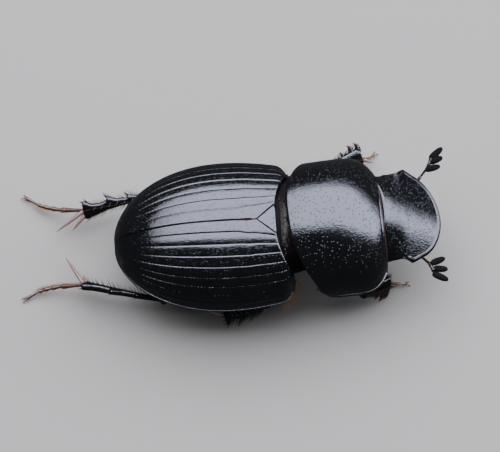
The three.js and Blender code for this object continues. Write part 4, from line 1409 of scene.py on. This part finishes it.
for name, leg in LEGS.items():
    shin_hairs(name, leg)
    foot_hairs(name, leg)

# %% [markdown]
# ### Hairs of the waist and belly
#
# A short grey velvet covers the middle of the waist, where the shield's base rubs over it. Longer
# amber hairs fringe the breastplate's front corners, under the shoulders, and the belly wears a
# thin coat that lies backwards.

# %% The velvet, the fringes and the belly coat
def hind_hairs(name, u, y, z, ways, lengths, girth, unrolled, material, bend):
    """Hairs on the hind body, from arrays in its frame."""
    roots, turned = in_world(np.stack([u, y, z], 1), HIND), ways_in_world(np.stack(ways, 1), HIND)
    girths, places = np.full(len(u), girth), np.stack(unrolled, 1)
    hairs(name, list(zip(roots, turned, lengths, girths, places)), material, bend)


def waist_velvet():
    count = 900
    u = 5.93 + 0.3 * random.beta(1.2, 2.0, count)
    y = np.clip(random.normal(-0.02, 0.36, count), -1.2, 1.2)
    angle = np.arcsin((y - WAIST_SHIFT) / WAIST_HALF)
    z = WAIST_LEVEL + (WAIST_TOP - WAIST_LEVEL - 0.16) * np.cos(angle) - 0.02
    ways = (0.3 + random.uniform(-0.3, 0.3, count), 0.2 + random.uniform(-0.4, 0.4, count),
            np.full(count, 0.9))
    hind_hairs("waist_velvet", u, y, z, ways, random.uniform(0.04, 0.09, count), 0.013,
               ((u - 5.9) / 0.4, (y + 1.2) / 2.4), PALE_HAIR, 0.4)


def flank_fringe(side):
    count = 110
    u = 6.28 - 0.7 * random.beta(1.0, 3.0, count)
    z = random.uniform(1.4, 2.05, count)
    reach = BELLY_SHARE * case_half_width(u) * breast_front(u)
    y = side * (reach * np.sqrt(1 - share((2.1 - z) / 1.6) ** 2) - 0.05)
    ways = (random.uniform(0.0, 1.3, count), np.full(count, 1.0 * side), random.uniform(-0.2, 0.2, count))
    hind_hairs(f"flank_fringe_{side_name(side)}", u, y, z, ways, random.uniform(0.35, 0.75, count), 0.009,
               ((u - 5.4) / 1.3, z / 2.5), AMBER_HAIR, 0.15)


def belly_coat():
    count = 900
    u, angle = random.uniform(0.6, 6.1, count), np.radians(random.uniform(-75, 75, count))
    under_case = case_rim(u) - CASE_UNDER
    half, depth = BELLY_SHARE * case_half_width(u), (under_case - BELLY_LEVEL) * full_belly(u)
    y = half * breast_front(u) * np.sin(angle)
    z = under_case - depth * breast_front(u) * np.cos(angle) ** 0.8
    ways = (np.full(count, -1.0), 0.2 * np.sin(angle), -0.35 * np.cos(angle))
    hind_hairs("belly_coat", u, y, z, ways, random.uniform(0.1, 0.2, count), 0.006,
               (u / 6.5, 0.5 + angle / 3.2), BELLY_HAIR, 0.3)


waist_velvet()
flank_fringe(1)
flank_fringe(-1)
belly_coat()

# %% [markdown]
# ## Camera and studio
#
# A beetle this glossy shows mostly what it mirrors. One wide soft light hangs over it and a little
# to its left. A second sheet of light, with faded edges, shows only in the polish: its reflection
# lies as a pale cool band along the back, and the flanks stay dark. The camera looks down at 70
# degrees through a long lens, so that the sides run true.

# %% The floor, the light and the camera
FLOOR = "#b9b6b0"


def studio_floor():
    material, tree, shader = new_material("matt paper")
    fill(tree, shader, {"Base Color": linear(FLOOR), "Roughness": 0.9})
    mesh = bpy.data.meshes.new("floor")
    edge = 0.6  # half the side of the sheet, in metres
    corners = [(-edge, -edge, 0), (edge, -edge, 0), (edge, edge, 0), (-edge, edge, 0)]
    mesh.from_pydata(corners, [], [(0, 1, 2, 3)])
    mesh.materials.append(material)
    floor = in_scene("floor", mesh)
    floor.visible_glossy = False  # the polish mirrors a dim room, as it would over dark ground


def soft_light(name, corner, opposite, height, power, colour):
    """A level sheet of light between two corners (metres in X and Y), facing down."""
    data = bpy.data.lights.new(name, "AREA")
    data.shape = "RECTANGLE"
    data.size, data.size_y = (abs(b - a) for a, b in zip(corner, opposite))
    data.energy = power
    data.color = linear(colour)[:3]
    light = in_scene(name, data)
    light.location = [(a + b) / 2 for a, b in zip(corner, opposite)] + [height]
    light.visible_camera = False
    return light


def fade_edges(light, near, far):
    """Lets a sheet of light fade towards its edges, over shares of its size in X and in Y."""
    light.data.use_nodes = True
    tree = light.data.node_tree
    across = parts_of(tree, add(tree, "ShaderNodeNewGeometry").outputs["Parametric"])
    strength = 1.0
    for axis in (0, 1):
        for start, width in ((0.0, near[axis]), (1.0, -far[axis])):
            rise = soft_step(tree, across[axis], start, start + width)
            strength = calc(tree, "MULTIPLY", strength, rise)
    fill(tree, tree.nodes["Emission"], {"Strength": strength})


def camera(aim, elevation, lens, view_width):
    """Looks down at aim (mm) from the front side of the floor, and sees view_width (mm) there."""
    data = bpy.data.cameras.new("camera")
    data.lens = lens
    away = view_width * lens / data.sensor_width
    back = Vector((0, -math.cos(math.radians(elevation)), math.sin(math.radians(elevation))))
    shot = in_scene("camera", data)
    shot.location = (Vector(aim) + back * away) * MM
    data.clip_start, data.clip_end = away * MM / 100, away * MM * 20
    shot.rotation_mode = "QUATERNION"
    shot.rotation_quaternion = back.to_track_quat("Z", "Y")
    bpy.context.scene.camera = shot


studio_floor()
soft_light("soft light", (-0.17, -0.015), (1.0, 0.26), 0.15, 4.0, "#e6e9f2")
gloss = soft_light("soft light for the polish", (-0.21, -0.03), (1.1, 0.36), 0.152, 16.3, "#ccd3f0")
gloss.visible_diffuse = False
fade_edges(gloss, (0.14, 0.08), (0.1, 0.5))
world = bpy.data.worlds.new("studio air")
world.use_nodes = True
fill(world.node_tree, world.node_tree.nodes["Background"], {"Color": linear("#c9cdd6"), "Strength": 0.14})
bpy.context.scene.world = world
camera(aim=(0.571, -0.24, 2.4), elevation=70, lens=500, view_width=17.857)
print("camera", tuple(round(c, 3) for c in bpy.context.scene.camera.location))
